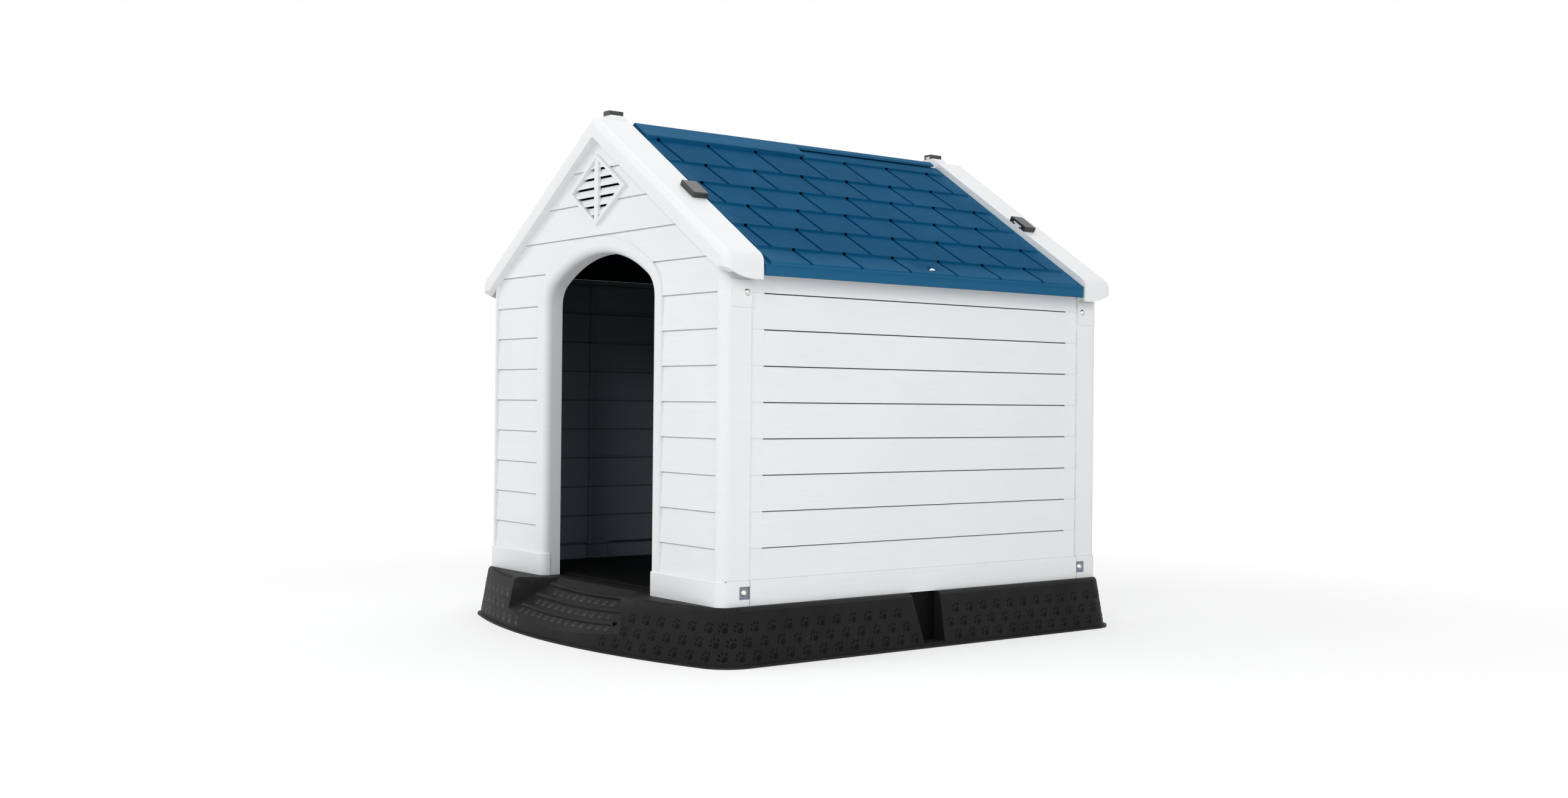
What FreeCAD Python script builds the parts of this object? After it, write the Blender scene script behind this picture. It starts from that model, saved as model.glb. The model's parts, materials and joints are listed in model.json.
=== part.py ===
import FreeCAD, Part
import math
import os
import Sketcher

# A plastic dog house: a hollow black tray with a ribbed step, two gabled end walls with
# clapboard siding, two side walls, a two-panel shingle roof and the fasteners that hold it.
# Lengths are in millimetres and angles in degrees.  The front faces -Y and the floor is z = 0.
# House sizes are measured from the middle of the four walls.

SIZES = (
    # tray
    ("tray_half_width", 330.0, "centre to the side edge of the foot flange"),
    ("tray_front", 408.0, "house centre to the foremost point of the foot flange"),
    ("tray_rear", 362.0, "house centre to the rear edge of the foot flange"),
    ("tray_front_radius", 950.0, "sweep of the bowed front edge"),
    ("tray_corner_radius", 48.0, "corner of the foot flange in plan"),
    ("tray_height", 72.0, "floor to the ledge that the walls stand on"),
    ("tray_wall", 3.0, "wall of the hollow tray"),
    ("flange_inset", 4.0, "skirt foot inside the flange edge"),
    ("flange_thickness", 3.0, "foot flange"),
    ("skirt_draft", 9.5, "lean of the skirt"),
    ("skirt_round", 6.0, "round along the top of the skirt"),
    ("floor_rise", 4.0, "inner floor above the ledge"),
    ("floor_half_width", 292.0, "raised inner floor"),
    ("floor_half_depth", 306.0, "raised inner floor"),
    ("rib_thickness", 3.0, "stiffening ribs under the tray"),
    ("rib_half_spacing", 105.0, "half the distance between the ribs under the tray"),
    ("step_back", 330.0, "house centre to the upper edge of the step slope"),
    ("step_front", 395.3, "house centre to the lower edge of the step slope"),
    ("step_low", 21.0, "height of the lower edge of the step slope"),
    ("step_top_half_width", 104.0, "step slope at its upper edge"),
    ("step_low_half_width", 156.0, "step slope at its lower edge"),
    ("cheek_half_width", 166.0, "outer edge of the step's cheeks at the skirt"),
    ("tread_width", 6.0, "raised rib on the step"),
    ("tread_height", 3.0, "raised rib on the step"),
    ("tread_round", 2.2, "round along a rib on the step"),
    ("tread_radius", 1200.0, "sweep of the ribs on the step"),
    ("tread_first", 19.5, "upper edge to the first rib, along the slope"),
    ("tread_pitch", 23.5, "rib to rib, along the slope"),
    ("tread_half_width", 105.0, "half length of the first rib"),
    ("tread_flare", 9.0, "each rib is longer than the one above by this at either end"),
    ("tread_socket", 2.6, "radius of the round sockets at the right ends of the lower ribs"),
    ("socket_depth", 1.5, "those sockets, into the slope"),
    ("notch_front_top", 37.0, "side notch, front edge at the ledge"),
    ("notch_front_low", 22.0, "side notch, front edge at its floor"),
    ("notch_rear", 15.0, "side notch, rear edge"),
    ("notch_depth", 30.0, "side notch, inward from the flange edge"),
    ("notch_low", 6.0, "side notch floor"),
    # walls
    ("post_half_width", 302.0, "centre to the side face of the corner posts"),
    ("post_half_depth", 338.0, "centre to the front face of the corner posts"),
    ("post_radius", 12.0, "round of a corner post in plan"),
    ("post_return", 42.6, "end wall round the corner, from its face to the seam"),
    ("seam_gap", 0.3, "play between the moulded panels"),
    ("seam_width", 1.0, "open joint between an end wall and a side wall"),
    ("sheet", 3.0, "wall of the moulded panels"),
    ("frame_depth", 6.0, "depth of the posts, rails and surrounds of an end wall"),
    ("siding_inset", 2.0, "clapboard lips behind the frame face"),
    ("siding_slant", 2.5, "fall-back of each clapboard from lip to top"),
    ("siding_pitch", 45.3, "clapboard height"),
    ("siding_first", 38.9, "height of the lowest clapboard"),
    ("groove_height", 1.4, "shadow groove under each clapboard lip"),
    ("groove_depth", 1.5, "shadow groove, behind the clapboard's top"),
    ("field_half_width", 289.0, "centre to the edge of the clapboards on an end wall"),
    ("band_height", 32.0, "plain band at the foot of the walls"),
    ("band_proud", 2.0, "band in front of the posts"),
    ("band_shoulder", 1.8, "chamfer along the top of the band"),
    ("band_embed", 1.0, "overlap of the band with the wall behind it"),
    ("corner_pad_low", 441.0, "lower edge of the raised pads under the rakes' ends"),
    ("corner_pad_rise", 1.2, "those pads, out from the corner posts"),
    ("inner_rib_place", 172.0, "ribs inside the side walls, from the centre"),
    ("inner_rib_width", 4.0, "ribs inside the side walls"),
    ("inner_rib_depth", 8.0, "ribs inside the side walls"),
    ("inner_rib_embed", 0.8, "ribs inside the side walls, into the tops of the clapboards"),
    ("inner_rib_rise", 1.0, "floor to the foot of those ribs"),
    ("shelf_inner", 284.0, "side wall's roof shelf, inner edge"),
    ("shelf_outer", 314.0, "side wall's roof shelf, outer edge"),
    ("shelf_thickness", 4.0, "side wall's roof shelf, measured plumb"),
    ("tongue_reach", 22.0, "side wall's tongue behind a corner post"),
    ("tongue_low", 8.0, "tongue ends this far above the ledge"),
    ("tongue_high", 480.0, "top of the tongues"),
    ("lug_width", 30.0, "lugs that drop into the tray"),
    ("lug_drop", 12.0, "lugs below the ledge"),
    ("lug_side_place", 150.0, "lugs of a side wall, from the centre"),
    ("lug_end_place", 220.0, "lugs of an end wall, from the centre"),
    ("lug_clearance", 0.4, "slot round a lug"),
    # doorway
    ("door_half_width", 140.0, "doorway"),
    ("door_crown", 525.5, "top of the doorway"),
    ("door_crown_radius", 228.0, "flat arch over the doorway"),
    ("door_shoulder_radius", 35.0, "corners of the arch"),
    ("surround_width", 22.0, "frame round the doorway"),
    ("jamb_wall", 4.0, "wall that lines the doorway"),
    ("jamb_depth", 28.0, "depth of the lining"),
    ("jamb_round", 11.0, "bullnose of the doorway"),
    # vent
    ("vent_height", 612.0, "centre of the vent"),
    ("vent_half_width", 64.0, "vent opening"),
    ("vent_half_height", 43.5, "vent opening"),
    ("vent_frame", 10.0, "vent frame, along its width"),
    ("vent_frame_rise", 5.0, "vent frame, along its height"),
    ("vent_proud", 2.5, "vent frame in front of the posts"),
    ("louvre_first", 29.0, "uppermost slot above the vent's centre"),
    ("louvre_pitch", 12.8, "slot to slot"),
    ("louvre_gap", 2.4, "height of a slot"),
    ("louvre_slant", 4.5, "fall-back of a blade"),
    ("louvre_wall", 2.0, "blade thickness, front to back"),
    ("mullion_half_width", 5.0, "upright bar over the louvres"),
    # roof
    ("roof_angle", 33.2, "slope of the roof"),
    ("ridge_height", 713.2, "ridge line of the end walls' rakes"),
    ("rake_half_width", 320.0, "centre to the end of a rake"),
    ("rake_height", 29.2, "face of a rake, measured plumb"),
    ("rake_proud", 9.0, "face of a rake in front of the posts"),
    ("rake_back", 12.0, "depth of the solid edge of a rake"),
    ("rake_inner", 290.5, "house centre to the inner edge of a rake"),
    ("rake_lip", 10.5, "inner edge of a rake, measured plumb"),
    ("rake_round", 10.0, "round along the front of a rake"),
    ("rake_apex_radius", 10.0, "round of a rake's apex"),
    ("rake_end_radius", 15.0, "corner at a rake's end"),
    ("rake_end_rise", 14.0, "front of a rake's foot above its rear"),
    ("rake_end_sweep", 47.0, "depth over which a rake's foot curves up"),
    ("panel_lip_drop", 6.2, "shingle lips below the ridge line, measured plumb"),
    ("panel_flange_drop", 11.0, "edge flange below the ridge line, measured plumb"),
    ("panel_under_drop", 14.5, "underside of the roof below the ridge line, measured plumb"),
    ("shingle_step", 3.2, "lip of a shingle course, measured plumb"),
    ("course_first", 30.0, "lower edge of the ridge course, from the centre"),
    ("course_second", 87.5, "lower edge of the second course, from the centre"),
    ("course_pitch", 49.5, "following courses, measured level"),
    ("panel_field", 278.5, "half length of the shingled field"),
    ("panel_flange_reach", 331.0, "half length of a roof panel with its edge flanges"),
    ("panel_end", 319.5, "centre to the face of the eave lip"),
    ("panel_flange_end", 315.0, "centre to the lower end of the edge flanges"),
    ("panel_gap", 0.4, "gap between the two panels at the ridge"),
    ("eave_bottom", 480.0, "lower edge of the eave lip"),
    ("eave_wall", 3.0, "eave lip"),
    ("eave_end_gap", 3.4, "eave lip to the rake"),
    ("eave_round", 7.0, "round at the top of the eave lip"),
    ("joint_width", 5.5, "groove between two shingles"),
    ("joint_floor", 4.6, "bottom of a groove under the lip plane, square to the slope"),
    ("joint_pitch", 83.6, "groove to groove"),
    ("joint_skew", 4.0, "lean of a groove over one course"),
    ("joint_start", 216.0, "first groove of the eave course, from the centre"),
    ("joint_shift", 40.0, "stagger of every second course"),
    ("cap_thickness", 3.6, "ridge cap on the slope"),
    ("cap_overlap", 8.0, "ridge cap past the centre"),
    ("eave_screw_place", 308.5, "eave screw from the centre"),
    ("eave_seat_wall", 1.2, "least thickness of the roof under an eave screw's head"),
    ("eave_recess", 14.0, "width of the screw's recess"),
    ("boss_diameter", 12.0, "boss under an eave screw"),
    ("boss_length", 14.0, "boss under an eave screw"),
    # clips
    ("clip_place", 181.0, "slope clips, from the centre"),
    ("clip_half_length", 18.0, "slope clips, half length along the slope"),
    ("clip_height", 8.0, "clips, square to the slope"),
    ("clip_depth", 22.0, "slope clips, along the house"),
    ("ridge_clip_place", 18.8, "ridge clips, to the left of the centre"),
    ("ridge_clip_half_width", 8.3, "ridge clips, across the house"),
    ("ridge_clip_height", 7.0, "ridge clips, upwards"),
    ("ridge_seat_rise", 5.6, "level seat of a ridge clip above the ridge line"),
    ("ridge_seat_half_width", 12.0, "level seat of a ridge clip"),
    ("clip_wall", 3.0, "outer wall of a clip"),
    ("clip_clearance", 0.3, "clip round its tab"),
    ("tab_stem", 5.0, "half width of a tab's stem"),
    ("tab_head", 9.0, "half width of a tab's head"),
    ("tab_neck", 2.4, "height of a tab's stem"),
    ("tab_cap", 2.0, "thickness of a tab's head"),
    ("ridge_tab_stem", 2.4, "half width of the ridge tab's stem"),
    ("ridge_tab_head", 5.2, "half width of the ridge tab's head"),
    ("ridge_tab_neck", 1.8, "height of the ridge tab's stem"),
    ("ridge_tab_cap", 1.8, "thickness of the ridge tab's head"),
    # screws
    ("screw_head", 9.6, "head diameter"),
    ("screw_head_height", 3.2, "head height"),
    ("screw_shank", 4.0, "shank diameter"),
    ("screw_length", 12.0, "shank length"),
    ("screw_hole", 4.3, "hole for a shank"),
    ("screw_low", 88.3, "lower corner screws"),
    ("screw_high", 459.0, "upper corner screws"),
    ("screw_setback", 35.0, "corner screws behind the post face"),
    ("screw_pad", 16.0, "square recess round a lower corner screw"),
    ("cross_width", 1.1, "drive recess"),
    ("cross_length", 5.6, "drive recess"),
    ("cross_depth", 1.6, "drive recess"),
)

PLANE_NORMAL = {"XY_Plane": 1, "XZ_Plane": -1, "YZ_Plane": 1}
CUTTING = ("PartDesign::Pocket", "PartDesign::SubtractiveLoft")
MARGIN = 5.0          # how far a cutting outline runs past what it cuts
TOUCH = 0.01          # how close two places are when they count as the same
TURN = 180.0          # a rear or left part is its twin turned about the vertical
TREADS = 3            # ribs on the step
END_BOARDS = 13       # clapboards of an end wall, up to the apex
SIDE_BOARDS = 8       # clapboards of a side wall
LOUVRE_SLOTS = 6
LOWER_COURSES = 5     # shingle courses below the ridge course's lower edge, without the eave
JOINTS = {"even": 6, "odd": 7}


class Dim:
    """A length with its value now and the sheet expression that keeps it so."""

    def __init__(self, value, text):
        self.value = value
        self.text = text

    def __add__(self, other):
        other = dim(other)
        return Dim(self.value + other.value, "(%s + %s)" % (self.text, other.text))

    def __sub__(self, other):
        other = dim(other)
        return Dim(self.value - other.value, "(%s - %s)" % (self.text, other.text))

    def __mul__(self, other):
        other = dim(other)
        return Dim(self.value * other.value, "(%s * %s)" % (self.text, other.text))

    def __truediv__(self, other):
        other = dim(other)
        return Dim(self.value / other.value, "(%s / %s)" % (self.text, other.text))

    def __neg__(self):
        return Dim(-self.value, "(-%s)" % self.text)

    def __radd__(self, other):
        return dim(other) + self

    def __rsub__(self, other):
        return dim(other) - self

    def __rmul__(self, other):
        return dim(other) * self


def dim(value):
    return value if isinstance(value, Dim) else Dim(float(value), repr(float(value)))


def root(size):
    return Dim(math.sqrt(size.value), "sqrt(%s)" % size.text)


def tangent(angle):
    return Dim(math.tan(math.radians(angle.value)), "tan(%s)" % angle.text)


def sine(angle):
    return Dim(math.sin(math.radians(angle.value)), "sin(%s)" % angle.text)


def cosine(angle):
    return Dim(math.cos(math.radians(angle.value)), "cos(%s)" % angle.text)


class Sizes:
    """The driving sizes, each one a Dim named after its cell in the sheet."""


def make_sheet():
    sheet = doc.addObject("Spreadsheet::Sheet", "Sizes")
    sizes = Sizes()
    for row, (name, value, meaning) in enumerate(SIZES, start=1):
        sheet.set("A%d" % row, meaning)
        sheet.set("B%d" % row, str(value))
        sheet.setAlias("B%d" % row, name)
        setattr(sizes, name, Dim(value, "Sizes." + name))
    return sizes


# ---------------------------------------------------------------- drawing helpers

def arc(x, y, radius, turn):
    """An arc that ends at x, y; turn is 1 for counter-clockwise and -1 for clockwise."""
    return (x, y, radius, turn)


def arc_geometry(start, end, radius, turn):
    """The circle's arc from start to end, and which end of it each point is."""
    middle = (start + end) * 0.5
    chord = end - start
    rise = math.sqrt(max(radius * radius - chord.Length ** 2 / 4.0, 0.0))
    side = FreeCAD.Vector(-chord.y, chord.x, 0.0).normalize()
    centre = middle + side * (rise * turn)
    first, last = (start, end) if turn > 0 else (end, start)
    low = math.atan2(first.y - centre.y, first.x - centre.x)
    high = math.atan2(last.y - centre.y, last.x - centre.x)
    if high < low:
        high += 2.0 * math.pi
    circle = Part.Circle(centre, FreeCAD.Vector(0, 0, 1), radius)
    ends = (1, 2) if turn > 0 else (2, 1)
    return Part.ArcOfCircle(circle, low, high), ends


def constrain(sketch, pairs):
    """Adds the constraints and binds each one that has a size to the sheet."""
    indices = sketch.addConstraint([constraint for constraint, size in pairs])
    for index, (constraint, size) in zip(indices, pairs):
        if size is not None:
            sketch.setExpression("Constraints[%d]" % index, size.text)


def draw_loop(sketch, points):
    """A closed outline whose corners, and the radius of each arc, are bound to the sheet."""
    corners = [FreeCAD.Vector(dim(p[0]).value, dim(p[1]).value, 0.0) for p in points]
    pieces = []
    for index, point in enumerate(points):
        start, end = corners[index - 1], corners[index]
        if len(point) > 2:
            geometry, ends = arc_geometry(start, end, dim(point[2]).value, point[3])
        else:
            geometry, ends = Part.LineSegment(start, end), (1, 2)
        pieces.append((sketch.addGeometry(geometry), ends))
    pairs = []
    for index, point in enumerate(points):
        piece, ends = pieces[index]
        following, following_ends = pieces[(index + 1) % len(points)]
        join = Sketcher.Constraint("Coincident", piece, ends[1], following, following_ends[0])
        x, y = dim(point[0]), dim(point[1])
        pairs += [(join, None),
                  (Sketcher.Constraint("DistanceX", piece, ends[1], x.value), x),
                  (Sketcher.Constraint("DistanceY", piece, ends[1], y.value), y)]
        if len(point) > 2:
            radius = dim(point[2])
            pairs.append((Sketcher.Constraint("Radius", piece, radius.value), radius))
    constrain(sketch, pairs)


def draw_circle(sketch, x, y, radius):
    circle = Part.Circle(FreeCAD.Vector(x.value, y.value, 0), FreeCAD.Vector(0, 0, 1), radius.value)
    piece = sketch.addGeometry(circle)
    constrain(sketch, [(Sketcher.Constraint("DistanceX", piece, 3, x.value), x),
                       (Sketcher.Constraint("DistanceY", piece, 3, y.value), y),
                       (Sketcher.Constraint("Radius", piece, radius.value), radius)])


def new_sketch(body, name, plane, place):
    """A sketch on one of the body's own planes, moved to `place` along that plane's axis."""
    sketch = body.newObject("Sketcher::SketchObject", name)
    sketch.AttachmentSupport = [(f, "") for f in body.Origin.OriginFeatures if f.Role == plane]
    sketch.MapMode = "FlatFace"
    lift = dim(place) * PLANE_NORMAL[plane]
    sketch.AttachmentOffset = FreeCAD.Placement(
        FreeCAD.Vector(0, 0, lift.value), FreeCAD.Rotation())
    sketch.setExpression("AttachmentOffset.Base.z", lift.text)
    return sketch


def extrude(body, kind, name, plane, loops, start, end, draft=None):
    """A pad or pocket of the loops from `start` to `end` along the plane's axis."""
    sketch = new_sketch(body, name + "_outline", plane, start)
    for loop in loops:
        if isinstance(loop, tuple):
            draw_circle(sketch, *loop)
        else:
            draw_loop(sketch, loop)
    feature = body.newObject("PartDesign::" + kind, name)
    feature.Profile = sketch
    length = dim(end) - dim(start)
    forward = length.value * PLANE_NORMAL[plane] > 0
    if length.value < 0:
        length = -length
    feature.Length = length.value
    feature.setExpression("Length", length.text)
    feature.Reversed = forward == (kind == "Pocket")
    if draft is not None:
        feature.setExpression("TaperAngle", (-draft).text)
    return feature


def pad(body, name, plane, loops, start, end, draft=None):
    return extrude(body, "Pad", name, plane, loops, start, end, draft)


def pocket(body, name, plane, loops, start, end):
    return extrude(body, "Pocket", name, plane, loops, start, end)


def dress(body, kind, name, base, size, chosen):
    """A fillet or chamfer on the edges of `base` for which `chosen` is true."""
    doc.recompute()
    feature = body.newObject("PartDesign::" + kind, name)
    edges = ["Edge%d" % (i + 1) for i, edge in enumerate(base.Shape.Edges) if chosen(edge)]
    feature.Base = (base, edges)
    prop = "Radius" if kind == "Fillet" else "Size"
    setattr(feature, prop, size.value)
    feature.setExpression(prop, size.text)
    return feature


def rectangle(x_low, x_high, y_low, y_high):
    return [(x_low, y_low), (x_high, y_low), (x_high, y_high), (x_low, y_high)]


def mirrored(points):
    """The outline's other half: the same points across the middle, in reverse order."""
    flipped = []
    for index in range(len(points) - 1, -1, -1):
        x, y = points[index][:2]
        following = points[index + 1] if index + 1 < len(points) else None
        if following is not None and len(following) > 2:
            flipped.append(arc(-x, y, following[2], following[3]))
        else:
            flipped.append((-x, y))
    return flipped


def backwards(points):
    """The same path run the other way."""
    turned = []
    for index in range(len(points) - 1, -1, -1):
        x, y = points[index][:2]
        following = points[index + 1] if index + 1 < len(points) else None
        if following is not None and len(following) > 2:
            turned.append(arc(x, y, following[2], -following[3]))
        else:
            turned.append((x, y))
    return turned


def new_body(name):
    return doc.addObject("PartDesign::Body", name)


def finish(shape, label, turned=False, x=None, y=None, z=None):
    """Names a sub-part and sets it in place; house parts are set back to centre the tray."""
    shape.Label = label
    shape.Placement = FreeCAD.Placement(
        FreeCAD.Vector(), FreeCAD.Rotation(FreeCAD.Vector(0, 0, 1), TURN if turned else 0.0))
    for axis, size in (("x", x), ("y", y), ("z", z)):
        if size is not None:
            shape.setExpression("Placement.Base." + axis, size.text)
    PARTS.append(shape)


def near(value, size):
    return abs(value - size.value) < TOUCH


# ---------------------------------------------------------------- roof lines

def roof_z(drop, x):
    """Height of the roof plane that lies `drop` plumb below the ridge line."""
    return s.ridge_height - drop - x * SLOPE


def plumb(thickness):
    """A thickness square to the slope, measured plumb."""
    return thickness / COSINE


def on_slope(x, along, out):
    """The point `along` down the slope and `out` square to it from the rake's top at x."""
    return (x + along * COSINE + out * SINE, roof_z(0, x) - along * SINE + out * COSINE)


def roof_line(drop, end, end_z, apex_radius, end_radius):
    """A rounded roof line from the left end over the ridge to the right end."""
    tip_x = apex_radius * SINE
    turn = end_radius * tangent((90 - s.roof_angle) / 2)
    bend_x = end - turn * COSINE
    right = [
        arc(tip_x, roof_z(drop, tip_x), apex_radius, -1),
        (bend_x, roof_z(drop, bend_x)),
        arc(end, roof_z(drop, end) - turn, end_radius, -1),
        (end, end_z),
    ]
    return mirrored(right) + right


# ---------------------------------------------------------------- tray

def tray_outline(inset):
    """The plan of the tray, with a bowed front and four rounded corners."""
    half = s.tray_half_width - inset
    rear = s.tray_rear - inset
    corner = s.tray_corner_radius - inset
    bow = s.tray_front_radius - inset
    bow_y = s.tray_front_radius - s.tray_front
    corner_x = half - corner
    drop = root((bow - corner) * (bow - corner) - corner_x * corner_x)
    share = bow / (bow - corner)
    bend_x, bend_y = corner_x * share, bow_y - drop * share
    side_y = bow_y - drop
    return [
        arc(bend_x, bend_y, bow, 1), arc(half, side_y, corner, 1),
        (half, rear - corner), arc(corner_x, rear, corner, 1),
        (-corner_x, rear), arc(-half, rear - corner, corner, 1),
        (-half, side_y), arc(-bend_x, bend_y, corner, 1),
    ]


def top_edges(level):
    """Chooses the edges that lie at one level."""
    def chosen(edge):
        box = edge.BoundBox
        return near(box.ZMin, level) and near(box.ZMax, level)
    return chosen


def cut_step(body, name, grow):
    """The slope of the step between its splayed cheeks, larger by `grow`."""
    fall = (s.tray_height - s.step_low) / (s.step_front - s.step_back)
    spread = (s.step_low_half_width - s.step_top_half_width) / (s.step_front - s.step_back)
    top = s.tray_height + MARGIN
    sketches = []
    for index, run in enumerate((dim(0), s.tray_front - s.step_back + MARGIN)):
        floor = s.tray_height - fall * run - grow
        half = s.step_top_half_width + spread * run + grow
        upper = half if index == 0 else s.cheek_half_width + grow
        sketch = new_sketch(body, "%s_%d" % (name, index), "XZ_Plane", -(s.step_back + run))
        draw_loop(sketch, [(-half, floor), (half, floor), (upper, top), (-upper, top)])
        sketches.append(sketch)
    loft = body.newObject("PartDesign::SubtractiveLoft", name)
    loft.Profile = sketches[1]
    loft.Sections = sketches[:1]
    loft.Ruled = True
    return loft


def cut_notches(body, name, grow):
    """The hand notch in each side of the skirt."""
    outline = [
        (-s.notch_front_top - grow, s.tray_height + MARGIN),
        (-s.notch_front_low - grow, s.notch_low - grow),
        (s.notch_rear + grow, s.notch_low - grow),
        (s.notch_rear + grow, s.tray_height + MARGIN),
    ]
    inner = s.tray_half_width - s.notch_depth - grow
    outer = s.tray_half_width + MARGIN
    pocket(body, name + "_right", "YZ_Plane", [outline], outer, inner)
    pocket(body, name + "_left", "YZ_Plane", [outline], -outer, -inner)


def tray_skin():
    """The outside of the tray."""
    body = new_body("tray_skin")
    zero = dim(0)
    pad(body, "flange", "XY_Plane", [tray_outline(zero)], zero, s.flange_thickness)
    skirt = pad(body, "skirt", "XY_Plane", [tray_outline(s.flange_inset)],
                zero, s.tray_height, s.skirt_draft)
    dress(body, "Fillet", "skirt_top", skirt, s.skirt_round, top_edges(s.tray_height))
    pad(body, "inner_floor", "XY_Plane",
        [rectangle(-s.floor_half_width, s.floor_half_width, -s.floor_half_depth, s.floor_half_depth)],
        s.tray_height - s.tray_wall, s.tray_height + s.floor_rise)
    cut_step(body, "step", zero)
    cut_notches(body, "notch", zero)
    pocket(body, "lug_slots", "XY_Plane", lug_slots(), s.tray_height + MARGIN,
           s.tray_height - s.tray_wall - MARGIN)
    add_treads(body)
    return body


def lug_slots():
    """The slots that take the lugs of the four walls."""
    gap = s.lug_clearance
    half = s.lug_width / 2 + gap
    side_out = s.post_half_width - s.siding_inset + gap
    side_in = side_out - s.sheet - 2 * gap
    end_out = s.post_half_depth - s.siding_inset + gap
    end_in = end_out - s.sheet - 2 * gap
    loops = []
    for sign in (-1, 1):
        for place in (-s.lug_side_place, s.lug_side_place):
            loops.append(rectangle(side_in * sign, side_out * sign, place - half, place + half))
        for place in (-s.lug_end_place, s.lug_end_place):
            loops.append(rectangle(place - half, place + half, end_in * sign, end_out * sign))
    return loops


def slope_sketch(body, name):
    """A sketch on the slope of the step, with its origin at the slope's upper edge."""
    rise = s.tray_height - s.step_low
    run = s.step_front - s.step_back
    tilt = Dim(math.degrees(math.atan2(rise.value, run.value)),
               "atan(%s / %s)" % (rise.text, run.text))
    sketch = new_sketch(body, name, "XY_Plane", s.tray_height)
    sketch.AttachmentOffset = FreeCAD.Placement(
        FreeCAD.Vector(0, -s.step_back.value, s.tray_height.value),
        FreeCAD.Rotation(FreeCAD.Vector(1, 0, 0), tilt.value))
    sketch.setExpression("AttachmentOffset.Base.y", (-s.step_back).text)
    sketch.setExpression("AttachmentOffset.Rotation.Angle", tilt.text)
    return sketch


def add_treads(body):
    """Raised ribs that bow forward across the step, with a round socket at the lower ones' ends."""
    ribs = slope_sketch(body, "treads_outline")
    sockets = slope_sketch(body, "sockets_outline")
    for index in range(TREADS):
        half = s.tread_half_width + s.tread_flare * index
        sag = s.tread_radius - root(s.tread_radius * s.tread_radius - half * half)
        middle = sag - s.tread_first - s.tread_pitch * index
        front, back = middle - s.tread_width / 2, middle + s.tread_width / 2
        draw_loop(ribs, [
            (half, back), arc(-half, back, s.tread_radius, -1),
            (-half, front), arc(half, front, s.tread_radius, 1)])
        if index:
            draw_circle(sockets, half, middle, s.tread_socket)
    treads = body.newObject("PartDesign::Pad", "treads")
    treads.Profile = ribs
    treads.SideType = "Two sides"
    treads.setExpression("Length", s.tread_height.text)
    treads.setExpression("Length2", (s.tray_wall / 2).text)

    def crest(edge):
        middle = edge.valueAt((edge.FirstParameter + edge.LastParameter) / 2)
        back, up = -middle.y - s.step_back.value, middle.z - s.tray_height.value
        lift = up * run_share + back * rise_share
        return near(lift, s.tread_height) and edge.Length > s.tread_width.value * 2

    rise = (s.tray_height - s.step_low).value
    run = (s.step_front - s.step_back).value
    run_share, rise_share = run / math.hypot(run, rise), rise / math.hypot(run, rise)
    dress(body, "Fillet", "tread_rounds", treads, s.tread_round, crest)
    drilled = body.newObject("PartDesign::Pocket", "sockets")
    drilled.Profile = sockets
    drilled.SideType = "Two sides"
    drilled.setExpression("Length", s.socket_depth.text)
    drilled.setExpression("Length2", (s.tread_height + s.socket_depth).text)
    body.Tip = drilled


def tray_hollow():
    """The space under the tray; its ribs are the slots left out of it."""
    body = new_body("tray_hollow")
    base = dim(0)
    top = s.tray_height - s.tray_wall
    inset = s.flange_inset + s.tray_wall
    pad(body, "hollow", "XY_Plane", [tray_outline(inset)], base, top, s.skirt_draft)
    cut_step(body, "step", s.tray_wall)
    cut_notches(body, "notch", s.tray_wall)
    half = s.rib_thickness / 2
    reach = s.tray_front
    ribs = []
    for place in (-s.rib_half_spacing, s.rib_half_spacing):
        ribs.append(rectangle(place - half, place + half, -reach, reach))
    pocket(body, "long_ribs", "XY_Plane", ribs, top + MARGIN, s.step_low)
    ribs = []
    for place in (-s.rib_half_spacing, s.rib_half_spacing):
        ribs.append(rectangle(-s.tray_half_width, s.tray_half_width, place - half, place + half))
    pocket(body, "cross_ribs", "XY_Plane", ribs, top + MARGIN, s.step_low)
    return body


def make_tray():
    tray = doc.addObject("Part::Cut", "tray")
    tray.Base = tray_skin()
    tray.Tool = tray_hollow()
    finish(tray, "base_tray", y=HOUSE_BACK)


# ---------------------------------------------------------------- end walls

def siding(face, top, rows, side):
    """The closed section of the clapboards from the foot band up to `top`.

    `face` is the place of the lips, `side` is -1 where the outside is towards minus."""
    lip = face * side
    back = (face - s.siding_slant) * side
    wall = -s.sheet * side
    foot = s.tray_height + s.band_height
    levels = [foot]
    for row in range(rows):
        levels.append(foot + s.siding_first + s.siding_pitch * row)
    outer = [(lip, foot)]
    inner = [(lip + wall, foot)]
    floor = back + s.groove_depth * -side
    for level in levels[1:]:
        under = level - s.groove_height
        outer += [(back, under), (floor, under), (floor, level), (lip, level)]
        inner += [(back + wall, level + s.sheet), (lip + wall, level + s.sheet)]
    outer.append((back, top))
    inner.append((back + wall, top))
    return outer + inner[::-1]


def door_line(grow):
    """The doorway from its right foot over the arch to its left foot, larger by `grow`."""
    half = s.door_half_width + grow
    centre_z = s.door_crown - s.door_crown_radius
    inner = s.door_crown_radius - s.door_shoulder_radius
    shoulder_x = s.door_half_width - s.door_shoulder_radius
    shoulder_z = centre_z + root(inner * inner - shoulder_x * shoulder_x)
    share = (s.door_crown_radius + grow) / inner
    tangent_x = shoulder_x * share
    tangent_z = centre_z + (shoulder_z - centre_z) * share
    return [
        (half, s.tray_height),
        (half, shoulder_z),
        arc(tangent_x, tangent_z, s.door_shoulder_radius + grow, 1),
        arc(-tangent_x, tangent_z, s.door_crown_radius + grow, 1),
        arc(-half, shoulder_z, s.door_shoulder_radius + grow, 1),
        (-half, s.tray_height),
    ]


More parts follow.
